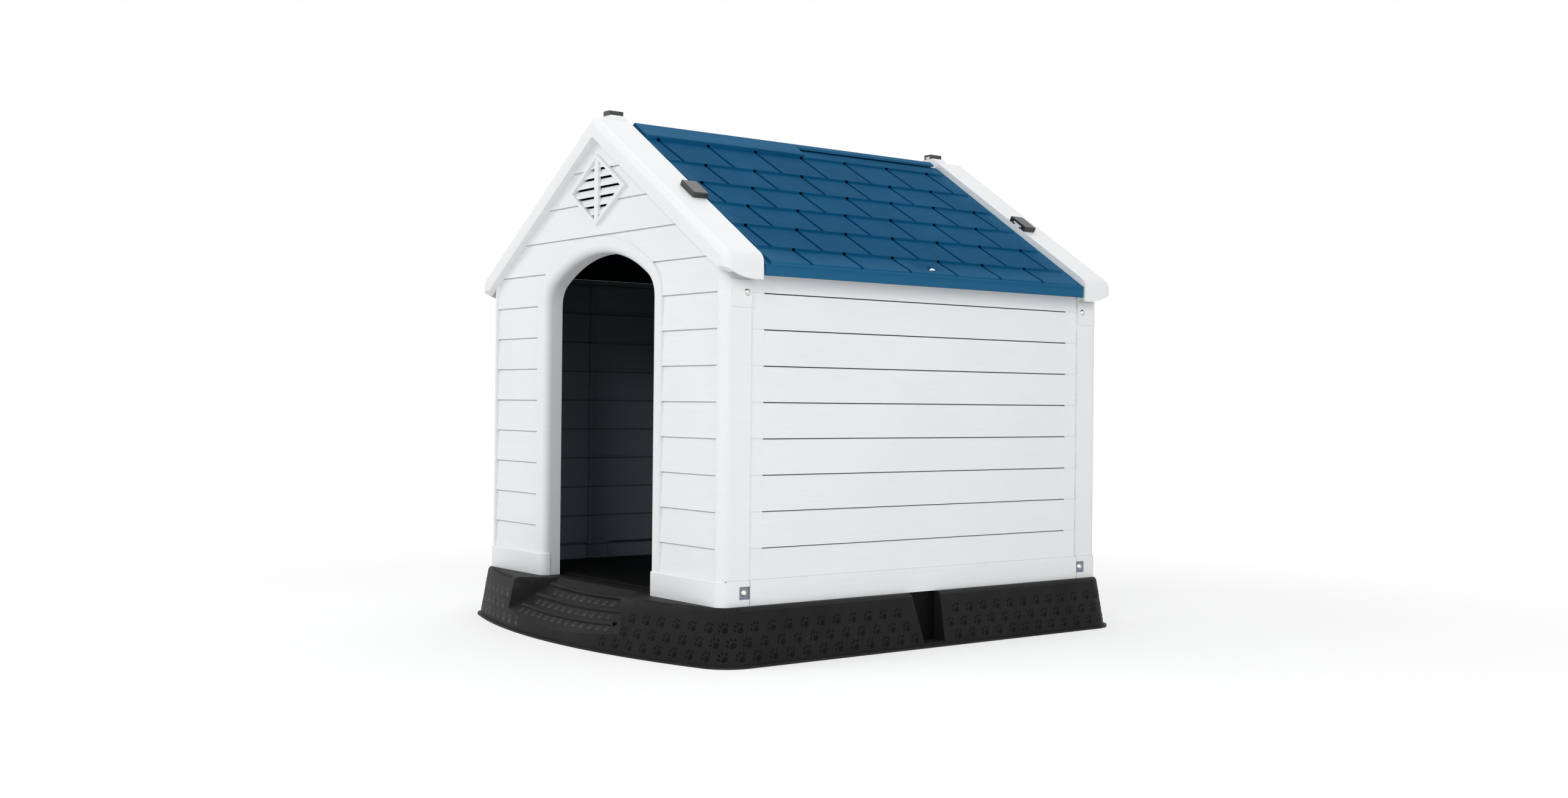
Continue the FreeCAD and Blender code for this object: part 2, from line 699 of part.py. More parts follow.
def channel_plan():
    """The plan of the end wall's frame, which turns round both corners to the seams."""
    half, face, seam = s.post_half_width, -s.post_half_depth, -SEAM
    radius = s.post_radius
    inner = radius / 2
    half_in = half - s.sheet
    face_in = face + s.frame_depth
    right = [
        (half - radius, face), arc(half, face + radius, radius, 1), (half, seam), (half_in, seam),
        (half_in, face_in + inner), arc(half_in - inner, face_in, inner, -1),
    ]
    left = [
        (-half_in + inner, face_in), arc(-half_in, face_in + inner, inner, -1), (-half_in, seam),
        (-half, seam), (-half, face + radius), arc(-half + radius, face, radius, 1),
    ]
    return right + left


def band_path(offset, has_door):
    """The plan of the foot band's face from the right seam to the doorway or the left seam."""
    half, face, seam = s.post_half_width, -s.post_half_depth, -SEAM
    radius = s.post_radius
    path = [
        (half + offset, seam), (half + offset, face + radius),
        arc(half - radius, face - offset, radius + offset, -1),
    ]
    if has_door:
        edge, nose = s.door_half_width, s.jamb_round
        path += [(edge + nose, face - offset), arc(edge - offset, face + nose, nose + offset, -1)]
    return path


def band_plan(has_door):
    """The closed plan of the foot band: one strip, or one on each side of the doorway."""
    outer = band_path(s.band_proud, has_door)
    inner = backwards(band_path(-s.band_embed, has_door))
    if has_door:
        strip = outer + inner
        return [strip, mirrored(strip)]
    left_outer = backwards(mirror_path(outer))
    left_inner = backwards(mirror_path(band_path(-s.band_embed, has_door)))
    return [outer + left_outer + backwards(left_inner) + inner]


def mirror_path(points):
    """The path across the middle, run the same way."""
    return [(-p[0], p[1]) if len(p) == 2 else arc(-p[0], p[1], p[2], -p[3]) for p in points]


def diamond(half_width, half_height):
    middle = s.vent_height
    return [(half_width, middle), (dim(0), middle + half_height),
            (-half_width, middle), (dim(0), middle - half_height)]


def above_roof_line(drop):
    """Everything above the roof plane that lies `drop` below the ridge line."""
    reach = s.rake_half_width + MARGIN
    top = s.ridge_height + MARGIN
    return [(-reach, roof_z(drop, reach)), (dim(0), roof_z(drop, 0)), (reach, roof_z(drop, reach)),
            (reach, top), (-reach, top)]


def field_outline(has_door):
    """The recess for the clapboards between the posts, the rakes and the doorway's frame."""
    half = s.field_half_width
    foot = s.tray_height + s.band_height
    outline = [(half, foot), (half, roof_z(s.rake_height, half)), (dim(0), roof_z(s.rake_height, 0)),
               (-half, roof_z(s.rake_height, half)), (-half, foot)]
    if has_door:
        surround = backwards(door_line(s.surround_width))
        surround[0] = (surround[0][0], foot)
        surround[-1] = (surround[-1][0], foot)
        outline += surround
    return outline


def verge(name, ridge_place):
    """The raised rakes: a solid edge in front, a thin top over the roof and a lip inside."""
    body = new_body(name)
    skin = plumb(s.sheet)
    face = -(s.post_half_depth + s.rake_proud)
    foot_z = roof_z(s.rake_height, s.rake_half_width)
    outer = roof_line(dim(0), s.rake_half_width, foot_z, s.rake_apex_radius, s.rake_end_radius)
    inner_end = s.rake_half_width - s.sheet
    inner = roof_line(skin, inner_end, foot_z, s.rake_apex_radius - s.sheet,
                      s.rake_end_radius - s.sheet)
    ridge_low = (dim(0), roof_z(s.rake_height, 0))
    pad(body, "rake_edge", "XZ_Plane", [outer + [ridge_low]], face, face + s.rake_back)
    top = pad(body, "rake_top", "XZ_Plane", [outer + backwards(inner)], face, -s.rake_inner)
    doc.recompute()

    def front_top(edge):
        box = edge.BoundBox
        x, z = abs(edge.CenterOfMass.x), edge.CenterOfMass.z
        flat = near(box.YMin, face) and near(box.YMax, face)
        return flat and z > roof_z(s.rake_height / 2, dim(x)).value

    dress(body, "Fillet", "rake_round", top, s.rake_round, front_top)
    lip = [(inner_end, foot_z), (inner_end, roof_z(s.rake_lip, inner_end)),
           (dim(0), roof_z(s.rake_lip, 0)), (-inner_end, roof_z(s.rake_lip, inner_end)),
           (-inner_end, foot_z)]
    pad(body, "rake_lip", "XZ_Plane", [outer + lip], -s.rake_inner - s.sheet, -s.rake_inner)
    shape_ends(body)
    add_tabs(body, ridge_place)
    return body


def slope_tab(sign):
    """The T-shaped tab that a slope clip slides onto."""
    low, neck, cap = -s.sheet / 2, s.tab_neck, s.tab_neck + s.tab_cap
    shape = [(s.tab_stem, low), (s.tab_stem, neck), (s.tab_head, neck), (s.tab_head, cap),
             (-s.tab_head, cap), (-s.tab_head, neck), (-s.tab_stem, neck), (-s.tab_stem, low)]
    points = [on_slope(s.clip_place, along, out) for along, out in shape]
    return [(x * sign, z) for x, z in points]


def ridge_tab(place):
    """The level seat beside the apex and the T-shaped tab that a ridge clip slides onto."""
    side = -1 if place.value < 0 else 1
    seat = s.ridge_height + s.ridge_seat_rise
    neck = seat + s.ridge_tab_neck
    cap = neck + s.ridge_tab_cap
    stem, head = s.ridge_tab_stem, s.ridge_tab_head
    near_x = (place * side - s.ridge_seat_half_width) * side
    far_x = (place * side + s.ridge_seat_half_width) * side
    low = roof_z(s.sheet, far_x * side)
    outline = [(far_x, low), (far_x, seat), (near_x, seat), (dim(0), roof_z(0, 0)),
               (dim(0), roof_z(s.sheet, 0))]
    shape = [(stem, seat - s.sheet), (stem, neck), (head, neck), (head, cap),
             (-head, cap), (-head, neck), (-stem, neck), (-stem, seat - s.sheet)]
    return outline, [(place + x, z) for x, z in shape]


def add_tabs(body, ridge_place):
    start = -s.rake_inner
    gap = s.clip_wall + s.clip_clearance
    end = start - s.clip_depth
    seat, tab = ridge_tab(ridge_place)
    pad(body, "slope_tabs", "XZ_Plane", [slope_tab(1), slope_tab(-1)], start, end + gap)
    pad(body, "ridge_seat", "XZ_Plane", [seat], start, end - s.clip_clearance)
    pad(body, "ridge_tab", "XZ_Plane", [tab], start, end + gap)


def shape_ends(body):
    """Curves the rakes' feet up towards the front."""
    foot = roof_z(s.rake_height, s.rake_half_width)
    face = -(s.post_half_depth + s.rake_proud)
    rise, sweep = s.rake_end_rise, s.rake_end_sweep
    radius = (sweep * sweep + rise * rise) / (2 * rise)
    outline = [(face - MARGIN, foot + rise), (face - MARGIN, foot - MARGIN),
               (face + sweep, foot - MARGIN), (face + sweep, foot), arc(face, foot + rise, radius, -1)]
    outer = s.rake_half_width + MARGIN
    for name, sign in (("right", 1), ("left", -1)):
        pocket(body, "rake_foot_" + name, "YZ_Plane", [outline],
               outer * sign, s.post_half_width * sign)


def add_vent(body):
    face = -s.post_half_depth
    outer = diamond(s.vent_half_width + s.vent_frame, s.vent_half_height + s.vent_frame_rise)
    inner = diamond(s.vent_half_width, s.vent_half_height)
    back = face + s.frame_depth
    pad(body, "vent_frame", "XZ_Plane", [outer], face - s.vent_proud, back)
    pocket(body, "vent_opening", "XZ_Plane", [inner], face - MARGIN, back + MARGIN)
    mullion = rectangle(-s.mullion_half_width, s.mullion_half_width,
                        s.vent_height - s.vent_half_height, s.vent_height + s.vent_half_height)
    pad(body, "mullion", "XZ_Plane", [mullion], face - s.vent_proud / 2, face + s.sheet)


def louvres(name):
    """Slanted blades one under the other, trimmed to the diamond of the vent."""
    body = new_body(name)
    front = -s.post_half_depth
    blades = []
    tops = [s.vent_height + s.vent_half_height]
    for slot in range(LOUVRE_SLOTS):
        place = s.vent_height + s.louvre_first - s.louvre_pitch * slot
        blades.append((tops[-1], place + s.louvre_gap / 2))
        tops.append(place - s.louvre_gap / 2)
    blades.append((tops[-1], s.vent_height - s.vent_half_height))
    loops = []
    for top, bottom in blades:
        loops.append([(front, bottom), (front + s.louvre_wall, bottom),
                      (front + s.louvre_wall + s.louvre_slant, top), (front + s.louvre_slant, top)])
    reach = s.vent_half_width + s.vent_frame
    pad(body, "blades", "YZ_Plane", loops, -reach, reach)
    beyond = reach + MARGIN
    frame = rectangle(-beyond, beyond, s.vent_height - beyond, s.vent_height + beyond)
    kept = diamond(s.vent_half_width + s.band_embed, s.vent_half_height + s.band_embed)
    pocket(body, "trim", "XZ_Plane", [frame, kept], front - MARGIN, front + s.frame_depth + MARGIN)
    return body


def door_frame(name):
    """The doorway's lining and the bullnose round its edge."""
    body = new_body(name)
    face = -s.post_half_depth
    rim_width = s.jamb_round + s.band_embed
    rim = door_line(dim(0)) + backwards(door_line(rim_width))
    lining = door_line(dim(0)) + backwards(door_line(s.jamb_wall))
    pad(body, "rim", "XZ_Plane", [rim], face, face + s.frame_depth)
    whole = pad(body, "lining", "XZ_Plane", [lining], face, face + s.jamb_depth)

    def nose(edge):
        box = edge.BoundBox
        inside = max(-box.XMin, box.XMax) < s.door_half_width.value + TOUCH
        under = box.ZMax < s.door_crown.value + TOUCH
        upright = edge.Length > s.door_shoulder_radius.value / 2
        return inside and under and upright and near(box.YMin, face) and near(box.YMax, face)

    dress(body, "Fillet", "bullnose", whole, s.jamb_round, nose)
    return body


def end_wall(label, has_door):
    """A gabled end wall, drawn as the front one."""
    body = new_body(label + "_shell")
    face = -s.post_half_depth
    back = face + s.frame_depth
    foot = s.tray_height
    pad(body, "frame", "XY_Plane", [channel_plan()], foot, s.ridge_height)
    pocket(body, "field", "XZ_Plane", [field_outline(has_door)], face - MARGIN, back + MARGIN)
    section = siding(s.post_half_depth - s.siding_inset, s.ridge_height, END_BOARDS, -1)
    half = s.field_half_width + s.band_embed
    pad(body, "clapboards", "YZ_Plane", [section], -half, half)
    pocket(body, "gable", "XZ_Plane", [above_roof_line(plumb(s.sheet) / 2)],
           face - MARGIN, -SEAM + MARGIN)
    pocket(body, "roof_seat", "XZ_Plane", [above_roof_line(s.panel_under_drop + s.seam_gap)],
           back, -SEAM + MARGIN)
    if has_door:
        pocket(body, "doorway", "XZ_Plane", [door_line(s.jamb_round)], face - MARGIN, back + MARGIN)
    band = pad(body, "band", "XY_Plane", band_plan(has_door), foot, foot + s.band_height)

    def shoulder(edge):
        middle = edge.valueAt((edge.FirstParameter + edge.LastParameter) / 2)
        x, y = abs(middle.x), middle.y
        post = s.post_radius
        nose = s.jamb_round
        corner = math.hypot(x - (s.post_half_width - post).value, y - (face + post).value)
        rim = math.hypot(x - (s.door_half_width + nose).value, y - (face + nose).value)
        outside = (near(x, s.post_half_width + s.band_proud) or near(y, face - s.band_proud)
                   or near(corner, post + s.band_proud) or near(rim, nose + s.band_proud))
        return near(middle.z, foot + s.band_height) and outside

    dress(body, "Chamfer", "band_shoulder", band, s.band_shoulder, shoulder)
    add_vent(body)
    add_corner_pads(body)
    add_screw_holes(body)
    add_lugs(body, "XZ_Plane", s.lug_end_place, -(s.post_half_depth - s.siding_inset), s.sheet)
    ridge_place = -s.ridge_clip_place if has_door else s.ridge_clip_place
    pieces = [body, verge(label + "_verge", ridge_place), louvres(label + "_louvres")]
    if has_door:
        pieces.append(door_frame(label + "_door_frame"))
    wall = doc.addObject("Part::MultiFuse", label + "_part")
    wall.Shapes = pieces
    wall.Refine = True
    finish(wall, label, turned=not has_door, y=HOUSE_BACK)


def add_lugs(body, plane, place, start, depth):
    """Two lugs under a wall that drop into the tray's slots."""
    half = s.lug_width / 2
    low, high = s.tray_height - s.lug_drop, s.tray_height + s.band_height
    loops = [rectangle(-place - half, -place + half, low, high),
             rectangle(place - half, place + half, low, high)]
    pad(body, "lugs", plane, loops, start, start + depth)


def add_corner_pads(body):
    """The raised pads on both returns under the rakes' ends, round the upper screws."""
    front, seam = -(s.post_half_depth - s.post_radius), -SEAM
    top = roof_z(s.rake_height, s.rake_half_width)
    pads = rectangle(front, seam, s.corner_pad_low, top)
    outer, inner = s.post_half_width + s.corner_pad_rise, s.post_half_width - s.sheet / 2
    for side, sign in (("right", 1), ("left", -1)):
        pad(body, "corner_pad_" + side, "YZ_Plane", [pads], inner * sign, outer * sign)


def add_screw_holes(body):
    """The holes in both returns, and the flats that the lower screws sit in."""
    place = -(s.post_half_depth - s.screw_setback)
    reach = s.post_half_width + MARGIN
    radius = s.screw_hole / 2
    holes = [(place, s.screw_low, radius), (place, s.screw_high, radius)]
    half = s.screw_pad / 2
    flat = rectangle(place - half, place + half, s.screw_low - half, s.screw_low + half)
    for side, sign in (("right", 1), ("left", -1)):
        pocket(body, "screw_flat_" + side, "YZ_Plane", [flat], reach * sign,
               s.post_half_width * sign)
        pocket(body, "screw_holes_" + side, "YZ_Plane", holes, reach * sign,
               (s.post_half_width - s.sheet - MARGIN) * sign)


# ---------------------------------------------------------------- side walls

def side_wall(label, turned):
    """A side wall, drawn as the right one."""
    body = new_body(label + "_body")
    lip = s.post_half_width - s.siding_inset
    outer_band = s.post_half_width + s.band_proud
    foot, level = s.tray_height, s.tray_height + s.band_height
    under = s.panel_under_drop
    shelf_low = under + s.shelf_thickness
    section = siding(lip, roof_z(shelf_low, lip), SIDE_BOARDS, 1)
    inner_count = 2 * SIDE_BOARDS + 2
    outer, inner = section[:-inner_count], section[-inner_count:]
    shelf = [(s.shelf_outer, roof_z(shelf_low, s.shelf_outer)),
             (s.shelf_outer, roof_z(under, s.shelf_outer)),
             (s.shelf_inner, roof_z(under, s.shelf_inner)),
             (s.shelf_inner, roof_z(shelf_low, s.shelf_inner))]
    wall_in = lip - s.siding_slant - s.sheet
    outer[-1] = (lip - s.siding_slant, roof_z(shelf_low, lip - s.siding_slant))
    inner[0] = (wall_in, roof_z(shelf_low, wall_in))
    jog, inner_band = level - s.sheet, outer_band - s.sheet
    band = [(inner[-1][0], jog), (inner_band, jog), (inner_band, foot), (outer_band, foot),
            (outer_band, level - s.band_shoulder), (outer_band - s.band_shoulder, level)]
    half = SEAM - s.seam_width
    pad(body, "section", "XZ_Plane", [outer + shelf + inner + band], -half, half)
    tongue_out = s.post_half_width - s.sheet - s.seam_gap
    tongue_in = tongue_out - s.sheet
    near_end, far_end = SEAM - s.tongue_reach, SEAM + s.tongue_reach
    tongues = [rectangle(tongue_in, tongue_out, -far_end, -near_end),
               rectangle(tongue_in, tongue_out, near_end, far_end)]
    pad(body, "tongues", "XY_Plane", tongues, foot + s.tongue_low, s.tongue_high)
    rib_half = s.inner_rib_width / 2
    ribs = [rectangle(wall_in - s.inner_rib_depth, wall_in + s.inner_rib_embed,
                      y - rib_half, y + rib_half)
            for y in (-s.inner_rib_place, s.inner_rib_place)]
    pad(body, "inner_ribs", "XY_Plane", ribs, foot + s.floor_rise + s.inner_rib_rise,
        roof_z(shelf_low, wall_in))
    boss = (s.eave_screw_place, dim(0), s.boss_diameter / 2)
    boss_top = roof_z(under, s.eave_screw_place - s.boss_diameter / 2)
    pad(body, "boss", "XY_Plane", [boss], boss_top, boss_top - s.boss_length)
    reach = s.eave_screw_place + s.boss_diameter
    over = [(s.shelf_inner, roof_z(under, s.shelf_inner)), (reach, roof_z(under, reach)),
            (reach, boss_top + MARGIN), (s.shelf_inner, roof_z(0, s.shelf_inner))]
    pocket(body, "boss_slope", "XZ_Plane", [over], -s.boss_diameter, s.boss_diameter)
    hole = (s.eave_screw_place, dim(0), s.screw_hole / 2)
    pocket(body, "eave_hole", "XY_Plane", [hole], EAVE_SEAT + MARGIN,
           EAVE_SEAT - s.screw_length - s.sheet)
    place = s.post_half_depth - s.screw_setback
    radius = s.screw_hole / 2
    holes = [(y, z, radius) for y in (-place, place) for z in (s.screw_low, s.screw_high)]
    pocket(body, "screw_holes", "YZ_Plane", holes, s.post_half_width + MARGIN, tongue_in - s.sheet)
    add_lugs(body, "YZ_Plane", s.lug_side_place, lip, -s.sheet)
    finish(body, label, turned=turned, y=HOUSE_BACK)


# ---------------------------------------------------------------- roof

def course_ends():
    """The level distance of the lower edge of each shingle course from the centre."""
    return [s.course_first] + [s.course_second + s.course_pitch * i for i in range(LOWER_COURSES)]


def shingle_section():
    """The cross section of a panel: six lapped courses over a flat underside, and the eave."""
    lip, under = s.panel_lip_drop, s.panel_under_drop
    start = s.panel_gap / 2
    points = [(start, roof_z(under, start)), (start, roof_z(lip + s.shingle_step, start))]
    for end in course_ends():
        points += [(end, roof_z(lip, end)), (end, roof_z(lip + s.shingle_step, end))]
    end = s.panel_end
    turn = s.eave_round * tangent((90 - s.roof_angle) / 2)
    bend_x = end - turn * COSINE
    points += [
        (bend_x, roof_z(lip, bend_x)),
        arc(end, roof_z(lip, end) - turn, s.eave_round, -1),
        (end, s.eave_bottom),
        (end - s.eave_wall, s.eave_bottom),
        (end - s.eave_wall, roof_z(under, end - s.eave_wall)),
    ]
    return points


def roof_panel(label, turned):
    """A roof panel, drawn as the right one."""
    body = new_body(label + "_body")
    pad(body, "shingles", "XZ_Plane", [shingle_section()], -s.panel_field, s.panel_field)
    flange, under = s.panel_flange_drop, s.panel_under_drop
    start, end = s.panel_gap / 2, s.panel_flange_end
    edge = [(start, roof_z(under, start)), (end, roof_z(under, end)),
            (end, roof_z(flange, end)), (start, roof_z(flange, start))]
    pad(body, "edge_flanges", "XZ_Plane", [edge], -s.panel_flange_reach, s.panel_flange_reach)
    inner, tip = s.panel_end - s.eave_wall, s.panel_end
    lip_end = [(inner, s.eave_bottom), (tip, s.eave_bottom),
               (tip, roof_z(flange, tip)), (inner - s.eave_wall, roof_z(flange, inner - s.eave_wall)),
               (inner - s.eave_wall, roof_z(under, inner - s.eave_wall)),
               (inner, roof_z(under, inner))]
    reach = s.rake_inner - s.eave_end_gap
    pad(body, "eave_ends", "XZ_Plane", [lip_end], -reach, reach)
    cap = [(s.course_first, roof_z(s.panel_lip_drop + s.shingle_step, s.course_first)),
           (s.course_first, roof_z(s.panel_lip_drop - s.cap_thickness, s.course_first)),
           (dim(0), roof_z(s.panel_lip_drop - s.cap_thickness, 0)),
           (-s.cap_overlap, roof_z(s.panel_lip_drop - s.cap_thickness, s.cap_overlap)),
           (-s.cap_overlap, roof_z(s.panel_lip_drop - s.seam_gap, s.cap_overlap)),
           (dim(0), roof_z(s.panel_lip_drop - s.seam_gap, 0)),
           (start, roof_z(s.panel_lip_drop + s.shingle_step, start))]
    pad(body, "ridge_cap", "XZ_Plane", [cap], -s.panel_field, -s.seam_gap)
    cut_joints(body)
    recess = (s.eave_screw_place, dim(0), s.eave_recess / 2)
    pocket(body, "screw_recess", "XY_Plane", [recess], s.ridge_height, EAVE_SEAT)
    hole = (s.eave_screw_place, dim(0), s.screw_hole / 2)
    pocket(body, "screw_hole", "XY_Plane", [hole], s.ridge_height, s.eave_bottom)
    finish(body, label, turned=turned, y=HOUSE_BACK)


def cut_joints(body):
    """The grooves between the shingles, staggered from course to course."""
    edges = [s.panel_gap / 2] + course_ends() + [s.panel_end]
    courses = list(zip(edges[1:], edges[2:]))
    rows = {"odd": courses[::2], "even": courses[1::2]}
    for name, shift in (("even", 0), ("odd", s.joint_shift)):
        sketch = new_sketch(body, name + "_joints_outline", "XY_Plane", 0)
        lift = roof_z(s.panel_lip_drop, 0)
        sketch.AttachmentOffset = FreeCAD.Placement(
            FreeCAD.Vector(0, 0, lift.value),
            FreeCAD.Rotation(FreeCAD.Vector(0, 1, 0), s.roof_angle.value))
        sketch.setExpression("AttachmentOffset.Base.z", lift.text)
        sketch.setExpression("AttachmentOffset.Rotation.Angle", s.roof_angle.text)
        half = s.joint_width / 2
        middle = -(s.joint_start + shift)
        for high, low in rows[name]:
            top, bottom = high / COSINE, low / COSINE
            lean = s.joint_skew / 2
            draw_loop(sketch, [(top, middle - lean - half), (bottom, middle + lean - half),
                               (bottom, middle + lean + half), (top, middle - lean + half)])
        groove = body.newObject("PartDesign::Pocket", name + "_joints")
        groove.Profile = sketch
        groove.SideType = "Two sides"
        groove.setExpression("Length", s.joint_floor.text)
        groove.setExpression("Length2", s.cap_thickness.text)
        pattern = body.newObject("PartDesign::LinearPattern", name + "_joint_row")
        pattern.Originals = [groove]
        pattern.Direction = (sketch, ["V_Axis"])
        run = s.joint_pitch * (JOINTS[name] - 1)
        pattern.Length = run.value
        pattern.setExpression("Length", run.text)
        pattern.Occurrences = JOINTS[name]
        body.Tip = pattern


# ---------------------------------------------------------------- clips and screws

def slope_clip(label, sign, turned):
    """A clip for a slope tab; `sign` is 1 on the right."""
    body = new_body(label + "_body")
    gap = s.clip_clearance
    half, high = s.clip_half_length, s.clip_height
    outside = [(-half, gap), (half, gap), (half, high), (-half, high)]
    neck_low, neck = -gap, s.tab_neck - gap
    cap = s.tab_neck + s.tab_cap + gap
    stem, head = s.tab_stem + gap, s.tab_head + gap
    inside = [(stem, neck_low), (stem, neck), (head, neck), (head, cap),
              (-head, cap), (-head, neck), (-stem, neck), (-stem, neck_low)]

    def placed(points):
        return [(x * sign, z) for x, z in (on_slope(s.clip_place, u, w) for u, w in points)]

    start = -s.rake_inner
    end = start - s.clip_depth
    block = pad(body, "block", "XZ_Plane", [placed(outside)], start, end)
    dress(body, "Fillet", "block_round", block, s.clip_wall / 2,
          lambda edge: edge.BoundBox.YLength > s.clip_depth.value / 2)
    pocket(body, "slot", "XZ_Plane", [placed(inside)], start, end + s.clip_wall)
    finish(body, label, turned=turned, y=HOUSE_BACK)


def ridge_clip(label, turned):
    """The clip on the level seat beside the apex."""
    body = new_body(label + "_body")
    gap = s.clip_clearance
    place = s.ridge_clip_place if turned else -s.ridge_clip_place
    half = s.ridge_clip_half_width
    seat = s.ridge_height + s.ridge_seat_rise
    outside = rectangle(place - half, place + half, seat + gap, seat + s.ridge_clip_height)
    neck_low, neck = seat - gap, seat + s.ridge_tab_neck - gap
    cap = seat + s.ridge_tab_neck + s.ridge_tab_cap + gap
    stem, head = s.ridge_tab_stem + gap, s.ridge_tab_head + gap
    inside = [(stem, neck_low), (stem, neck), (head, neck), (head, cap),
              (-head, cap), (-head, neck), (-stem, neck), (-stem, neck_low)]
    start = -s.rake_inner
    end = start - s.clip_depth
    block = pad(body, "block", "XZ_Plane", [outside], start, end)
    dress(body, "Fillet", "block_round", block, s.clip_wall / 2,
          lambda edge: edge.BoundBox.YLength > s.clip_depth.value / 2
          and near(edge.CenterOfMass.z, seat + s.ridge_clip_height))
    pocket(body, "slot", "XZ_Plane", [[(place + x, z) for x, z in inside]],
           start, end + s.clip_wall)
    finish(body, label, turned=turned, y=HOUSE_BACK)


def screw(label, x, y, z, outward):
    """A pan-head screw along Z with its head up, turned so that the head faces `outward`."""
    body = new_body(label + "_body")
    sketch = new_sketch(body, "profile", "XZ_Plane", 0)
    zero = dim(0)
    head, shank = s.screw_head / 2, s.screw_shank / 2
    height = s.screw_head_height
    crown = (head * head + height * height) / (2 * height)
    draw_loop(sketch, [(zero, -s.screw_length), (shank, -s.screw_length), (shank, zero),
                       (head, zero), arc(zero, height, crown, 1)])
    turned = body.newObject("PartDesign::Revolution", "turned")
    turned.Profile = sketch
    turned.ReferenceAxis = (sketch, ["V_Axis"])
    turned.Angle = 360.0
    long, wide = s.cross_length / 2, s.cross_width / 2
    cross = [(long, -wide), (long, wide), (wide, wide), (wide, long), (-wide, long), (-wide, wide),
             (-long, wide), (-long, -wide), (-wide, -wide), (-wide, -long), (wide, -long),
             (wide, -wide)]
    pocket(body, "drive", "XY_Plane", [cross], height + MARGIN, height - s.cross_depth)
    body.Label = label
    body.Placement = FreeCAD.Placement(FreeCAD.Vector(), outward)
    for axis, size in (("x", x), ("y", y), ("z", z)):
        body.setExpression("Placement.Base." + axis, size.text)
    PARTS.append(body)


def make_screws():
    to_right = FreeCAD.Rotation(FreeCAD.Vector(0, 1, 0), 90)
    to_left = FreeCAD.Rotation(FreeCAD.Vector(0, 1, 0), -90)
    upward = FreeCAD.Rotation()
    back = s.post_half_depth - s.screw_setback
    for side, sign, outward in (("right", 1, to_right), ("left", -1, to_left)):
        for end, place in (("front", HOUSE_BACK - back), ("rear", HOUSE_BACK + back)):
            for level, height, seat in (("lower", s.screw_low, 0),
                                        ("upper", s.screw_high, s.corner_pad_rise)):
                screw("screw_%s_%s_%s" % (end, side, level),
                      (s.post_half_width + seat) * sign, place, height, outward)
        screw("screw_eave_" + side, s.eave_screw_place * sign, HOUSE_BACK, EAVE_SEAT, upward)


# ---------------------------------------------------------------- checks and files

def check_parts():
    """Stops with a plain message if anything failed to build or a cut removed nothing."""
    for thing in doc.Objects:
        if "Invalid" in thing.State or "Error" in thing.State:
            raise RuntimeError("%s did not build" % thing.Name)
        if thing.TypeId in CUTTING and thing.Shape.Volume >= thing.BaseFeature.Shape.Volume - 0.01:
            raise RuntimeError("%s cuts nothing" % thing.Name)
    for part in PARTS:
        if part.Shape.isNull() or not part.Shape.isValid():
            raise RuntimeError("%s has no valid shape" % part.Label)
        if len(part.Shape.Solids) != 1:
            raise RuntimeError("%s is %d solids" % (part.Label, len(part.Shape.Solids)))


def write_parts():
    os.makedirs("parts", exist_ok=True)
    for part in PARTS:
        part.Shape.exportStep("parts/%s.step" % part.Label)


doc = FreeCAD.newDocument("dog_house")
PARTS = []
s = make_sheet()
SLOPE = tangent(s.roof_angle)
COSINE = cosine(s.roof_angle)
SINE = sine(s.roof_angle)
SEAM = s.post_half_depth - s.post_return
HOUSE_BACK = (s.tray_front - s.tray_rear) / 2
EAVE_SEAT = roof_z(s.panel_under_drop, s.eave_screw_place - s.eave_recess / 2) + s.eave_seat_wall

make_tray()
end_wall("front_wall", True)
end_wall("rear_wall", False)
side_wall("right_side_wall", False)
side_wall("left_side_wall", True)
roof_panel("right_roof_panel", False)
roof_panel("left_roof_panel", True)
for end, turned in (("front", False), ("rear", True)):
    ridge_clip("roof_clip_%s_ridge" % end, turned)
    for side, sign in (("left", -1), ("right", 1)):
        slope_clip("roof_clip_%s_%s" % (end, side), -sign if turned else sign, turned)
make_screws()

doc.recompute()
check_parts()
write_parts()
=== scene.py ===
import json
import math

import bpy
from mathutils import Matrix, Vector
from mathutils.bvhtree import BVHTree

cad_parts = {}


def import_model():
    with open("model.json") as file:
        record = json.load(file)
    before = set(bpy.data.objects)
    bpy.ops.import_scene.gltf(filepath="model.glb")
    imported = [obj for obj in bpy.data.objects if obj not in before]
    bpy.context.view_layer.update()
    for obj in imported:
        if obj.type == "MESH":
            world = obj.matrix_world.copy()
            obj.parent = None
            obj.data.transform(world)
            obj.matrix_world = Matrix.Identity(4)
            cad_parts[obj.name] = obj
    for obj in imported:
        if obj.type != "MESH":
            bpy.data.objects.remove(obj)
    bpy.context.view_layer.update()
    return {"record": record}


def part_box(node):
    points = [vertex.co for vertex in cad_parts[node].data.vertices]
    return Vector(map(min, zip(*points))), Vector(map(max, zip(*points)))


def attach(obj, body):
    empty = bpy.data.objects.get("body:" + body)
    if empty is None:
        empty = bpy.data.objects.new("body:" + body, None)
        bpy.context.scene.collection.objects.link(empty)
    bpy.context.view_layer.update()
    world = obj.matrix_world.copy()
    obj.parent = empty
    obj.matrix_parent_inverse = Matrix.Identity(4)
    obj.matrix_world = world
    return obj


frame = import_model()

# ---------------------------------------------------------------- places on the house, in metres

